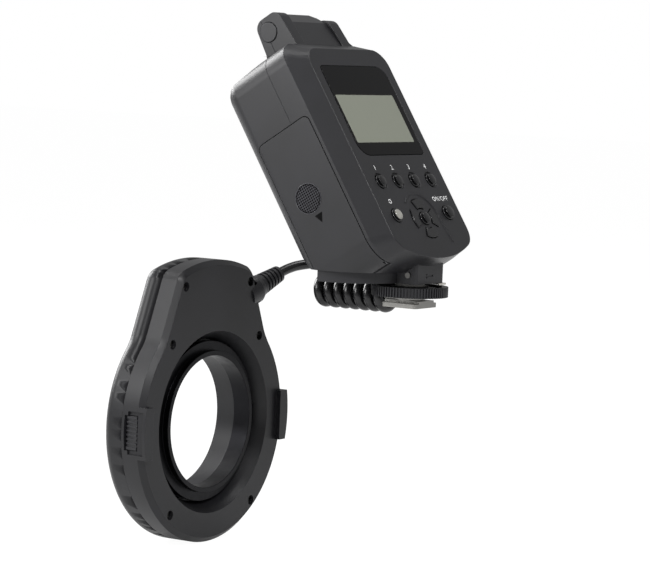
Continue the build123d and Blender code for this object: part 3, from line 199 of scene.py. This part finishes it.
def material(name, **settings):
    """A new material with its shader's sockets set, its node tree and Object coordinates."""
    made = bpy.data.materials.new(name)
    made.use_nodes = True
    tree = made.node_tree
    shader = tree.nodes["Principled BSDF"]
    for socket, value in settings.items():
        shader.inputs[socket.replace("_", " ")].default_value = value
    place = node(tree, "ShaderNodeTexCoord").outputs["Object"]
    return made, tree, shader, place


def tones(tree, shader, factor, dark, light, low=0.3, high=0.7):
    """Runs the base colour from dark to light along a pattern."""
    ramp = node(tree, "ShaderNodeValToRGB", [(factor, "Fac")])
    ramp.color_ramp.elements[0].position = low
    ramp.color_ramp.elements[0].color = colour(dark)
    ramp.color_ramp.elements[1].position = high
    ramp.color_ramp.elements[1].color = colour(light)
    tree.links.new(ramp.outputs["Color"], shader.inputs["Base Color"])


def relief(tree, shader, height, depth, strength):
    """Bump of a real depth in millimetres."""
    bump = node(
        tree, "ShaderNodeBump", [(height, "Height")], Distance=depth * MM, Strength=strength
    )
    tree.links.new(bump.outputs["Normal"], shader.inputs["Normal"])


def spread(tree, shader, factor, low, high):
    """Roughness that wanders between two values along a pattern."""
    made = node(tree, "ShaderNodeMapRange", [(factor, "Value")], To_Min=low, To_Max=high)
    tree.links.new(made.outputs["Result"], shader.inputs["Roughness"])


def moulded(name, dark, light, grain, rough, depth, shine=0.35):
    """Spark-eroded moulded plastic: a pebbled grain, grain millimetres wide, on a satin face."""
    made, tree, shader, place = material(name, IOR=1.5, Specular_IOR_Level=shine)
    cloud = node(tree, "ShaderNodeTexNoise", [(place, "Vector")], Scale=45, Detail=3)
    pebble = node(
        tree, "ShaderNodeTexNoise", [(place, "Vector")], Scale=1 / (grain * MM), Detail=2
    )
    tones(tree, shader, cloud.outputs["Fac"], dark, light)
    spread(tree, shader, pebble.outputs["Fac"], rough - 0.05, rough + 0.08)
    relief(tree, shader, pebble.outputs["Fac"], depth, 0.6)
    return made


def metal(name, tint, rough, scale):
    """Plated or turned metal with faint cloudy wear."""
    made, tree, shader, place = material(name, Metallic=1)
    shader.inputs["Base Color"].default_value = colour(tint)
    wear = node(tree, "ShaderNodeTexNoise", [(place, "Vector")], Scale=scale, Detail=4)
    spread(tree, shader, wear.outputs["Fac"], rough * 0.7, rough * 1.5)
    relief(tree, shader, wear.outputs["Fac"], 0.02, 0.3)
    return made


# Satin ABS mouldings, charcoal with a fine sparkle where light grazes them
shell_abs = moulded("shell_abs", "#19191b", "#1d1d20", 0.28, 0.4, 0.012)
# The same ABS on the grille's thin bars and rim, painted paler: painted light, the pale tone stands
# for light catching the raised bars
lit_bar_abs = moulded("lit_bar_abs", "#2c2c30", "#35353a", 0.28, 0.36, 0.008)
# The ring's ABS, painted a little blacker than the shell: painted shade, the tone of the ring's
# shaded rear face
ring_shaded_abs = moulded("ring_shaded_abs", "#151517", "#19191c", 0.28, 0.4, 0.012, 0.3)
# Base and wheel mouldings, the same plastic seen in shade
base_abs = moulded("base_abs", "#1b1b1e", "#202023", 0.28, 0.38, 0.012)
# Moulded silicone keys, smooth and slightly shiny
key_silicone = moulded("key_silicone", "#0f0f11", "#141416", 0.4, 0.22, 0.004, 0.4)
# PVC cord jacket: black with sharp reflections along its curls
cord_pvc = moulded("cord_pvc", "#0b0b0c", "#101012", 0.9, 0.24, 0.01, 0.4)
# Rubber boot and gland, duller than the jacket
boot_rubber = moulded("boot_rubber", "#17171a", "#1e1e21", 0.3, 0.42, 0.01)
# Glass-filled nylon inside the case
inner_nylon = moulded("inner_nylon", "#3a3a3c", "#464648", 0.4, 0.6, 0.01)
# Laminate boards, green solder mask
board_laminate = moulded("board_laminate", "#1c4a2c", "#24593a", 0.5, 0.35, 0.004)
# Sleeved parts on the boards
sleeve = moulded("sleeve", "#1a1a20", "#26262e", 0.5, 0.3, 0.004)
# Jacket of the cells
cell_jacket = moulded("cell_jacket", "#6c7076", "#8b9097", 0.6, 0.25, 0.004)
# Black anodised aluminium, turned
adapter_anodised = metal("adapter_anodised", "#1d1d1f", 0.35, 400)
# Nickel plate: bright, nearly a mirror
nickel_plate = metal("nickel_plate", "#d8d5cd", 0.16, 600)
# Satin nickel foot
satin_nickel = metal("satin_nickel", "#8f8e8b", 0.34, 500)
# Zinc-plated screw heads, dulled
dull_zinc = metal("dull_zinc", "#6c6b69", 0.3, 700)
# Near-black painted shade for the grille's hollow and the sunk opening mark, where shade falls
recess_shade = moulded("recess_shade", "#030303", "#050505", 0.3, 0.8, 0.002, 0.1)
# Gold-flashed contacts
gold_flash = metal("gold_flash", "#d2a85a", 0.22, 600)
# Polished aluminium reflectors
polished_aluminium = metal("polished_aluminium", "#e2e2e4", 0.14, 300)


def acrylic(name, tint, rough, shine=0.5, cover=1):
    """Cast acrylic, polished, with dust-fine haze in its reflection."""
    made, tree, shader, place = material(
        name, IOR=1.49, Specular_IOR_Level=shine, Alpha=cover
    )
    haze = node(tree, "ShaderNodeTexNoise", [(place, "Vector")], Scale=120, Detail=3)
    shader.inputs["Base Color"].default_value = colour(tint)
    spread(tree, shader, haze.outputs["Fac"], rough, rough + 0.05)
    return made


# Black-backed window, glossy as glass
window_acrylic = acrylic("window_acrylic", "#040405", 0.06, 0.12)
# Liquid crystal panel: a grey-green film with a faint pixel grid, turned into the panel's plane
PIXEL = 0.5
lcd_film, lcd_tree, lcd_shader, lcd_place = material(
    "lcd_film", Roughness=0.3, IOR=1.49, Specular_IOR_Level=0.25
)
turned_place = node(
    lcd_tree,
    "ShaderNodeMapping",
    [(lcd_place, "Vector")],
    vector_type="TEXTURE",
    Rotation=(pi / 2 - LEAN, 0, 0),
)
pixels = node(
    lcd_tree,
    "ShaderNodeTexChecker",
    [(turned_place.outputs["Vector"], "Vector")],
    Scale=1 / (PIXEL * MM),
)
tones(lcd_tree, lcd_shader, pixels.outputs["Fac"], "#777a6f", "#7c7f74", 0, 1)
# Dark line round the display, a shade browner than the window: partly a printed mask, partly
# painted shade of the display's recess wall, so it is widest at the right
mask_and_recess_shade = acrylic("mask_and_recess_shade", "#0d0c0b", 0.2, 0.12)
# Pale pearl dome on the dark pilot key: painted highlight, its light colour stands for the glint on
# the key
pilot_glint_pale = moulded("pilot_glint_pale", "#6a6963", "#a3a29c", 2.5, 0.14, 0.004, 0.5)
# White ink
white_ink = moulded("white_ink", "#dcdcdc", "#e8e8e8", 0.3, 0.5, 0.002)
# Prismatic acrylic over the flash tubes
diffuser_acrylic, diffuser_tree, diffuser_shader, diffuser_place = material(
    "diffuser_acrylic", IOR=1.49, Alpha=0.85
)
prisms = node(
    diffuser_tree, "ShaderNodeTexWave", [(diffuser_place, "Vector")], Scale=180, bands_direction="Z"
)
tones(diffuser_tree, diffuser_shader, prisms.outputs["Fac"], "#a9adb0", "#c4c8ca")
spread(diffuser_tree, diffuser_shader, prisms.outputs["Fac"], 0.1, 0.25)
relief(diffuser_tree, diffuser_shader, prisms.outputs["Fac"], 0.2, 0.8)
# Quartz tubes
quartz = acrylic("quartz", "#e6e8ea", 0.05, cover=0.5)

# Which pieces have each finish
finishes = {
    shell_abs: ("rear_shell", "front_shell", "bridge_cover", "battery_door", "hinge_caps"),
    ring_shaded_abs: ("ring_rear_cover", "ring_front_cover"),
    base_abs: ("base_block", "lock_wheel", "left_release", "right_release"),
    key_silicone: (
        "function_button_1",
        "function_button_2",
        "function_button_3",
        "function_button_4",
        "power_button",
        "pilot_button",
        "set_button",
        "pad_up",
        "pad_down",
        "pad_left",
        "pad_right",
    ),
    boot_rubber: ("cord_boot", "base_gland"),
    cord_pvc: ("cord_lead", "cord_coil"),
    inner_nylon: ("battery_tray", "door_slide"),
    board_laminate: ("panel_board", "power_board", "ring_board"),
    sleeve: ("main_capacitor", "charging_coil"),
    cell_jacket: ("battery_cells",),
    adapter_anodised: ("lens_adapter",),
    nickel_plate: ("stop_clip", "battery_contacts", "release_springs", "lock_pin"),
    dull_zinc: ("base_screws", "case_screws", "ring_screws"),
    satin_nickel: ("shoe_foot", "lock_plate"),
    gold_flash: ("contact_pins",),
    polished_aluminium: ("left_reflector", "right_reflector"),
    window_acrylic: ("window_plate",),
    lcd_film: ("display_module",),
    diffuser_acrylic: ("left_diffuser", "right_diffuser", "focusing_lamps"),
    quartz: ("flash_tubes",),
}
for finish, names in finishes.items():
    for name in names:
        mesh = frame["nodes"][name].data
        mesh.materials.clear()
        mesh.materials.append(finish)
cord.data.materials.append(cord_pvc)


def only(piece):
    """Makes piece the one selected and active object."""
    bpy.ops.object.select_all(action="DESELECT")
    piece.select_set(True)
    bpy.context.view_layer.objects.active = piece


def belongs(piece, name, body, finish):
    """Names a finished piece, dresses it and lets it ride with its body."""
    piece.name = name
    piece.data.materials.clear()
    piece.data.materials.append(finish)
    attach(piece, body)
    return piece


# Rounded copies: the moulded pieces with their real soft edges
bodies = {
    name: body
    for body, names in frame["record"]["behaviour"]["bodies"].items()
    for name in names
}
SHARP, SMOOTH = radians(24), radians(36)
MERGE, FLAT = 0.005, radians(0.5)


def finish_normals(piece):
    """Smooths the piece across its soft edges and keeps its large faces flat in the light."""
    only(piece)
    bpy.ops.object.shade_smooth_by_angle(angle=SMOOTH)
    weighted = piece.modifiers.new("faces", "WEIGHTED_NORMAL")
    weighted.keep_sharp = True
    bpy.ops.object.modifier_apply(modifier="faces")


def panel_rim(place):
    """Whether a place, in millimetres, is on the panel's outer edge."""
    away = place - PANEL
    across, rise, depth = abs(away.dot(RIGHT)), away.dot(UP), away.dot(INTO)
    return depth < 0.1 and (across > RIM_ACROSS or rise > RIM_HIGH or rise < RIM_LOW)


def weigh_edges(piece, share):
    """Gives the panel's rim the full rounding and every other sharp edge a share of it."""
    mesh = piece.data
    sides = {}
    for face in mesh.polygons:
        for key in face.edge_keys:
            sides.setdefault(key, []).append(face.normal)
    weights = mesh.attributes.new("bevel_weight_edge", "FLOAT", "EDGE")
    for edge in mesh.edges:
        normals = sides.get(edge.key, [])
        if len(normals) != 2 or normals[0].angle(normals[1]) < SHARP:
            continue
        start, end = (mesh.vertices[index].co for index in edge.vertices)
        weights.data[edge.index].value = 1 if panel_rim((start + end) / 2 / MM) else share


def rounded(name, radius, steps=2, clamp=True, wide=0):
    """Replaces a node by a copy, its edges rounded to radius millimetres, or wide at the rim."""
    only(frame["nodes"][name])
    bpy.ops.object.duplicate()
    piece = bpy.context.object
    piece.parent = None
    del piece["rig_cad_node"]
    finish = piece.data.materials[0]
    bpy.ops.object.mode_set(mode="EDIT")
    bpy.ops.mesh.select_all(action="SELECT")
    bpy.ops.mesh.remove_doubles(threshold=MERGE * MM)
    bpy.ops.mesh.dissolve_limited(angle_limit=FLAT)
    bpy.ops.object.mode_set(mode="OBJECT")
    bevel = piece.modifiers.new("edges", "BEVEL")
    bevel.width = radius * MM
    bevel.segments = steps
    bevel.limit_method = "ANGLE"
    bevel.angle_limit = SHARP
    bevel.use_clamp_overlap = clamp
    if wide:
        bevel.limit_method = "WEIGHT"
        bevel.width = wide * MM
        weigh_edges(piece, radius / wide)
    bpy.ops.object.modifier_apply(modifier="edges")
    finish_normals(piece)
    belongs(piece, name + "_rounded", bodies[name], finish)
    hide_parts(name)
    return piece


# Millimetres of rounding on each piece
soft_edges = {
    "battery_door": 0.3,
    "bridge_cover": 0.5,
    "base_block": 0.4,
    "left_release": 0.2,
    "right_release": 0.2,
    "lens_adapter": 0.2,
    "lock_wheel": 0.15,
    "stop_clip": 0.1,
    "window_plate": 0.1,
    "hinge_caps": 0.2,
    "function_button_1": 0.3,
    "function_button_2": 0.3,
    "function_button_3": 0.3,
    "function_button_4": 0.3,
    "pilot_button": 0.4,
    "power_button": 0.3,
    "set_button": 0.3,
    "pad_up": 0.25,
    "pad_down": 0.25,
    "pad_left": 0.25,
    "pad_right": 0.25,
    "ring_rear_cover": 0.3,
    "ring_front_cover": 0.3,
}
copies = {name: rounded(name, radius) for name, radius in soft_edges.items()}
copies["rear_shell"] = rounded("rear_shell", 0.3, clamp=False)
copies["front_shell"] = rounded("front_shell", 0.25, steps=3, clamp=False, wide=1.6)


def open_seam(piece, point, way, gap):
    """Moves the piece's edge at a parting plane by gap millimetres along way, so the seam shows."""
    only(piece)
    for vertex in piece.data.vertices:
        vertex.select = abs((vertex.co - point).dot(way)) < 0.02 * MM
    bpy.ops.object.mode_set(mode="EDIT")
    bpy.ops.transform.translate(value=way * gap * MM)
    bpy.ops.object.mode_set(mode="OBJECT")


SEAM = 0.22
open_seam(copies["rear_shell"], (PANEL + INTO * PARTING) * MM, INTO, SEAM)
open_seam(copies["front_shell"], (PANEL + INTO * PARTING) * MM, -INTO, SEAM)
FRONTWARD = Vector((0, 1, 0))
open_seam(copies["ring_rear_cover"], FRONTWARD * RING_PARTING * MM, -FRONTWARD, SEAM)
open_seam(copies["ring_front_cover"], FRONTWARD * RING_PARTING * MM, FRONTWARD, SEAM)


def settled(piece):
    """Puts the piece's place into its mesh."""
    only(piece)
    bpy.ops.object.transform_apply(location=True, rotation=True, scale=True)


def thicken(depth):
    """Gives the flat mesh being edited a thickness in millimetres and points its faces outwards."""
    bpy.ops.mesh.select_all(action="SELECT")
    bpy.ops.mesh.extrude_region_move(TRANSFORM_OT_translate={"value": (0, 0, depth * MM)})
    bpy.ops.mesh.select_all(action="SELECT")
    bpy.ops.mesh.normals_make_consistent()
    bpy.ops.object.mode_set(mode="OBJECT")


ON_PANEL = Matrix((RIGHT, UP, -INTO)).transposed().to_4x4()
FILM, INK_LIFT, CAPITAL_SHARE = 0.02, 0.015, 0.7


def label(words, across, rise, height, name):
    """White printed figures on the panel, centred, height millimetres tall."""
    bpy.ops.object.select_all(action="DESELECT")
    bpy.ops.object.text_add()
    piece = bpy.context.object
    piece.data.body = words
    piece.data.align_x = "CENTER"
    piece.data.align_y = "CENTER"
    piece.data.size = height / CAPITAL_SHARE * MM
    piece.data.space_character = 1.2
    piece.data.extrude = 0.01 * MM
    piece.matrix_world = Matrix.Translation(on_panel(across, rise, INK_LIFT)) @ ON_PANEL
    bpy.ops.object.convert(target="MESH")
    settled(piece)
    belongs(piece, name, CONTROL, white_ink)


for count in range(4):
    across = (count - 1.5) * FUNCTION_STEP
    label(str(count + 1), across, FUNCTION_ROW + 6.6, 2.5, f"key_figure_{count + 1}")
label("ON/OFF", SIDE_KEY_X - 0.6, SIDE_KEY_ROW + 7.2, 2.2, "power_label")

# A small printed ring over the pilot key
bpy.ops.object.select_all(action="DESELECT")
bpy.ops.mesh.primitive_circle_add(vertices=32, radius=1.1 * MM, fill_type="NGON")
pilot_mark = bpy.context.object
bpy.ops.object.mode_set(mode="EDIT")
bpy.ops.mesh.inset(thickness=0.35 * MM)
bpy.ops.mesh.delete(type="FACE")
thicken(FILM)
pilot_mark.matrix_world = Matrix.Translation(on_panel(-SIDE_KEY_X, SIDE_KEY_ROW + 7, 0)) @ ON_PANEL
settled(pilot_mark)
belongs(pilot_mark, "pilot_mark", CONTROL, white_ink)


def film(name, left, right, bottom, top, corner, lift, finish):
    """A thin film with rounded corners on the panel."""
    bpy.ops.object.select_all(action="DESELECT")
    bpy.ops.mesh.primitive_plane_add(size=1)
    piece = bpy.context.object
    piece.scale = ((right - left) * MM, (top - bottom) * MM, 1)
    bpy.ops.object.transform_apply(location=False, rotation=False, scale=True)
    bpy.ops.object.mode_set(mode="EDIT")
    bpy.ops.mesh.select_all(action="SELECT")
    bpy.ops.mesh.bevel(offset=corner * MM, segments=5, affect="VERTICES")
    thicken(FILM)
    middle = on_panel((left + right) / 2, (bottom + top) / 2, lift)
    piece.matrix_world = Matrix.Translation(middle) @ ON_PANEL
    settled(piece)
    return belongs(piece, name, CONTROL, finish)


def side_place(along, rise, lift):
    """Stands a piece on the left side: its X runs forwards, its Y down the body, its Z outwards."""
    turned = Matrix((INTO, -UP, -RIGHT)).transposed().to_4x4()
    corner = PANEL + RIGHT * (SIDE_X - lift) + UP * rise + INTO * along
    return Matrix.Translation(corner * MM) @ turned


# Woven lattice in the door's grille: a near-black disc of painted shade behind fine bars painted
# paler for light, and a rim
bpy.ops.object.select_all(action="DESELECT")
bpy.ops.mesh.primitive_circle_add(vertices=64, radius=GRILLE_RADIUS * MM, fill_type="NGON")
grille_back = bpy.context.object
bpy.ops.object.mode_set(mode="EDIT")
thicken(FILM)
grille_back.matrix_world = side_place(GRILLE_DEPTH, GRILLE_ROW, 0.0)
settled(grille_back)
belongs(grille_back, "grille_back", "battery_door", recess_shade)

GRILLE_BARS, BAR_HALF, BAR_DEPTH, GRILLE_MARGIN = 12, 0.14, 0.1, 0.5
bpy.ops.object.select_all(action="DESELECT")
bpy.ops.mesh.primitive_grid_add(
    x_subdivisions=GRILLE_BARS, y_subdivisions=GRILLE_BARS, size=2 * GRILLE_RADIUS * MM
)
lattice = bpy.context.object
bpy.ops.object.mode_set(mode="EDIT")
bpy.ops.mesh.select_mode(type="FACE")
bpy.ops.mesh.select_all(action="DESELECT")
bpy.ops.object.mode_set(mode="OBJECT")
for face in lattice.data.polygons:
    face.select = face.center.length > (GRILLE_RADIUS - GRILLE_MARGIN) * MM
bpy.ops.object.mode_set(mode="EDIT")
bpy.ops.mesh.delete(type="FACE")
bpy.ops.mesh.select_all(action="SELECT")
bpy.ops.mesh.inset(thickness=BAR_HALF * MM, use_individual=True)
bpy.ops.mesh.delete(type="FACE")
thicken(BAR_DEPTH)
lattice.matrix_world = side_place(GRILLE_DEPTH, GRILLE_ROW, FILM)
settled(lattice)
belongs(lattice, "grille_lattice", "battery_door", lit_bar_abs)

bpy.ops.object.select_all(action="DESELECT")
bpy.ops.mesh.primitive_torus_add(
    major_radius=GRILLE_RADIUS * MM, minor_radius=0.2 * MM, major_segments=64, minor_segments=8
)
rim = bpy.context.object
rim.matrix_world = side_place(GRILLE_DEPTH, GRILLE_ROW, 0.0)
settled(rim)
bpy.ops.object.shade_smooth()
belongs(rim, "grille_rim", "battery_door", lit_bar_abs)

# The opening mark: its sunk triangle filled with near-black painted shade
MARK_PAINT, MARK_SUNK = 0.05, 0.06
bpy.ops.object.select_all(action="DESELECT")
bpy.ops.mesh.primitive_circle_add(vertices=3, radius=MARK_SIZE / 2 * MM, fill_type="NGON")
mark = bpy.context.object
half = MARK_SIZE / 2 * MM
for vertex, corner in zip(mark.data.vertices, ((-half, -half, 0), (half, -half, 0), (0, half, 0))):
    vertex.co = corner
bpy.ops.object.mode_set(mode="EDIT")
thicken(MARK_PAINT)
mark.matrix_world = side_place(GRILLE_DEPTH - MARK_SHIFT, MARK_ROW, -MARK_SUNK)
settled(mark)
belongs(mark, "opening_mark", "battery_door", recess_shade)


def face_lift(name):
    """How far the node's outermost point stands off the panel, in millimetres."""
    vertices = frame["nodes"][name].data.vertices
    return max(-(vertex.co / MM - PANEL).dot(INTO) for vertex in vertices)


def dome(name, node_name, across, rise, radius, height, finish, sunk=0.1):
    """A shallow polished dome on a key."""
    bpy.ops.object.select_all(action="DESELECT")
    bpy.ops.mesh.primitive_uv_sphere_add(segments=40, ring_count=20, radius=radius * MM)
    piece = bpy.context.object
    bpy.ops.object.mode_set(mode="EDIT")
    bpy.ops.mesh.select_all(action="SELECT")
    bpy.ops.mesh.bisect(plane_co=(0, 0, 0), plane_no=(0, 0, 1), use_fill=True, clear_inner=True)
    bpy.ops.mesh.select_all(action="SELECT")
    bpy.ops.transform.resize(value=(1, 1, (height + sunk) / radius))
    bpy.ops.object.mode_set(mode="OBJECT")
    place = on_panel(across, rise, face_lift(node_name) - sunk)
    piece.matrix_world = Matrix.Translation(place) @ ON_PANEL
    settled(piece)
    bpy.ops.object.shade_smooth_by_angle(angle=SMOOTH)
    belongs(piece, name, bodies[node_name], finish)


for count in range(4):
    key = f"function_button_{count + 1}"
    across = (count - 1.5) * FUNCTION_STEP
    dome(f"key_dome_{count + 1}", key, across, FUNCTION_ROW, 2.6, 0.45, key_silicone)
dome("power_dome", "power_button", SIDE_KEY_X, SIDE_KEY_ROW, 2.9, 0.4, key_silicone)
dome("set_dome", "set_button", 0, SET_ROW, 2.6, 0.4, key_silicone)
# The pilot key's pale dome is painted highlight
dome("pilot_dome", "pilot_button", -SIDE_KEY_X, SIDE_KEY_ROW, 2.5, 0.7, pilot_glint_pale)

# The display's blank picture area on the window, with a dark line round it: partly printed mask,
# partly painted shade of the recess wall, widest at the right
film(
    "mask_and_recess_shade",
    LCD_LEFT - 0.5,
    LCD_RIGHT + 0.9,
    LCD_LOW - 0.5,
    LCD_HIGH + 0.6,
    0.9,
    0.0,
    mask_and_recess_shade,
)
film("display_picture", LCD_LEFT, LCD_RIGHT, LCD_LOW, LCD_HIGH, 0.6, INK_LIFT, lcd_film)

# Floor and backdrop
FLOOR_SIZE, FLOOR_GAP = 12, 0.1
GLOSS_SHARE, GLOW_SHARE, AMBIENT = 0.3, 0.9, 0.22


def backdrop_rays(tree):
    """How much a ray sees of the backdrop: all from the camera or through glass, less off gloss."""
    rays = node(tree, "ShaderNodeLightPath")
    gloss = node(tree, "ShaderNodeMath", [(rays.outputs["Is Glossy Ray"], 0)], operation="MULTIPLY")
    gloss.inputs[1].default_value = GLOSS_SHARE
    either = node(
        tree,
        "ShaderNodeMath",
        [(rays.outputs["Is Camera Ray"], 0), (gloss.outputs["Value"], 1)],
        operation="MAXIMUM",
    )
    every = node(
        tree,
        "ShaderNodeMath",
        [(either.outputs["Value"], 0), (rays.outputs["Is Transmission Ray"], 1)],
        operation="MAXIMUM",
    )
    return every.outputs["Value"]


lowest = cad_box[0][2]
bpy.ops.object.select_all(action="DESELECT")
bpy.ops.mesh.primitive_plane_add(size=FLOOR_SIZE, location=(0, 0, lowest - FLOOR_GAP * MM))
floor = bpy.context.object
floor.name = "floor"
white_paper = bpy.data.materials.new("white_paper")
white_paper.use_nodes = True
paper = white_paper.node_tree
paper_shader = paper.nodes["Principled BSDF"]
paper_shader.inputs["Base Color"].default_value = colour("#f2f2f2")
paper_shader.inputs["Roughness"].default_value = 0.9
glow = node(paper, "ShaderNodeEmission", Strength=1.08)
seen = backdrop_rays(paper)
faint = node(paper, "ShaderNodeMath", [(seen, 0)], operation="MULTIPLY")
faint.inputs[1].default_value = GLOW_SHARE
mixed = node(paper, "ShaderNodeMixShader", [(faint.outputs["Value"], 0)])
paper.links.new(paper_shader.outputs["BSDF"], mixed.inputs[1])
paper.links.new(glow.outputs["Emission"], mixed.inputs[2])
paper.links.new(mixed.outputs["Shader"], paper.nodes["Material Output"].inputs["Surface"])
floor.data.materials.append(white_paper)

world = bpy.data.worlds.new("studio")
bpy.context.scene.world = world
world.use_nodes = True
sky = world.node_tree
backdrop = sky.nodes["Background"]
ambient = node(
    sky, "ShaderNodeMapRange", [(backdrop_rays(sky), "Value")], To_Min=AMBIENT, To_Max=1
)
sky.links.new(ambient.outputs["Result"], backdrop.inputs["Strength"])
backdrop.inputs["Color"].default_value = (1, 1, 1, 1)


def softbox(name, place, aim, size, power):
    """A square area lamp at place, turned to aim."""
    bpy.ops.object.select_all(action="DESELECT")
    bpy.ops.object.light_add(type="AREA", location=place)
    lamp = bpy.context.object
    lamp.name = name
    lamp.data.shape = "SQUARE"
    lamp.data.size = size
    lamp.data.energy = power
    lamp.rotation_euler = (Vector(aim) - Vector(place)).to_track_quat("-Z", "Y").to_euler()


heart = (0.0, 0.03, 0.0)
softbox("front_box", (0.1, 1.35, 0.6), heart, 0.75, 22)
softbox("side_box", (-0.5, 0.33, 0.26), (-0.03, 0.03, 0.05), 0.25, 2.4)
softbox("edge_box", (-0.75, -0.9, 1.05), heart, 0.3, 16)
softbox("over_box", (0.1, 0.0, 1.4), heart, 0.6, 8)

bpy.context.scene.view_settings.view_transform = "Standard"
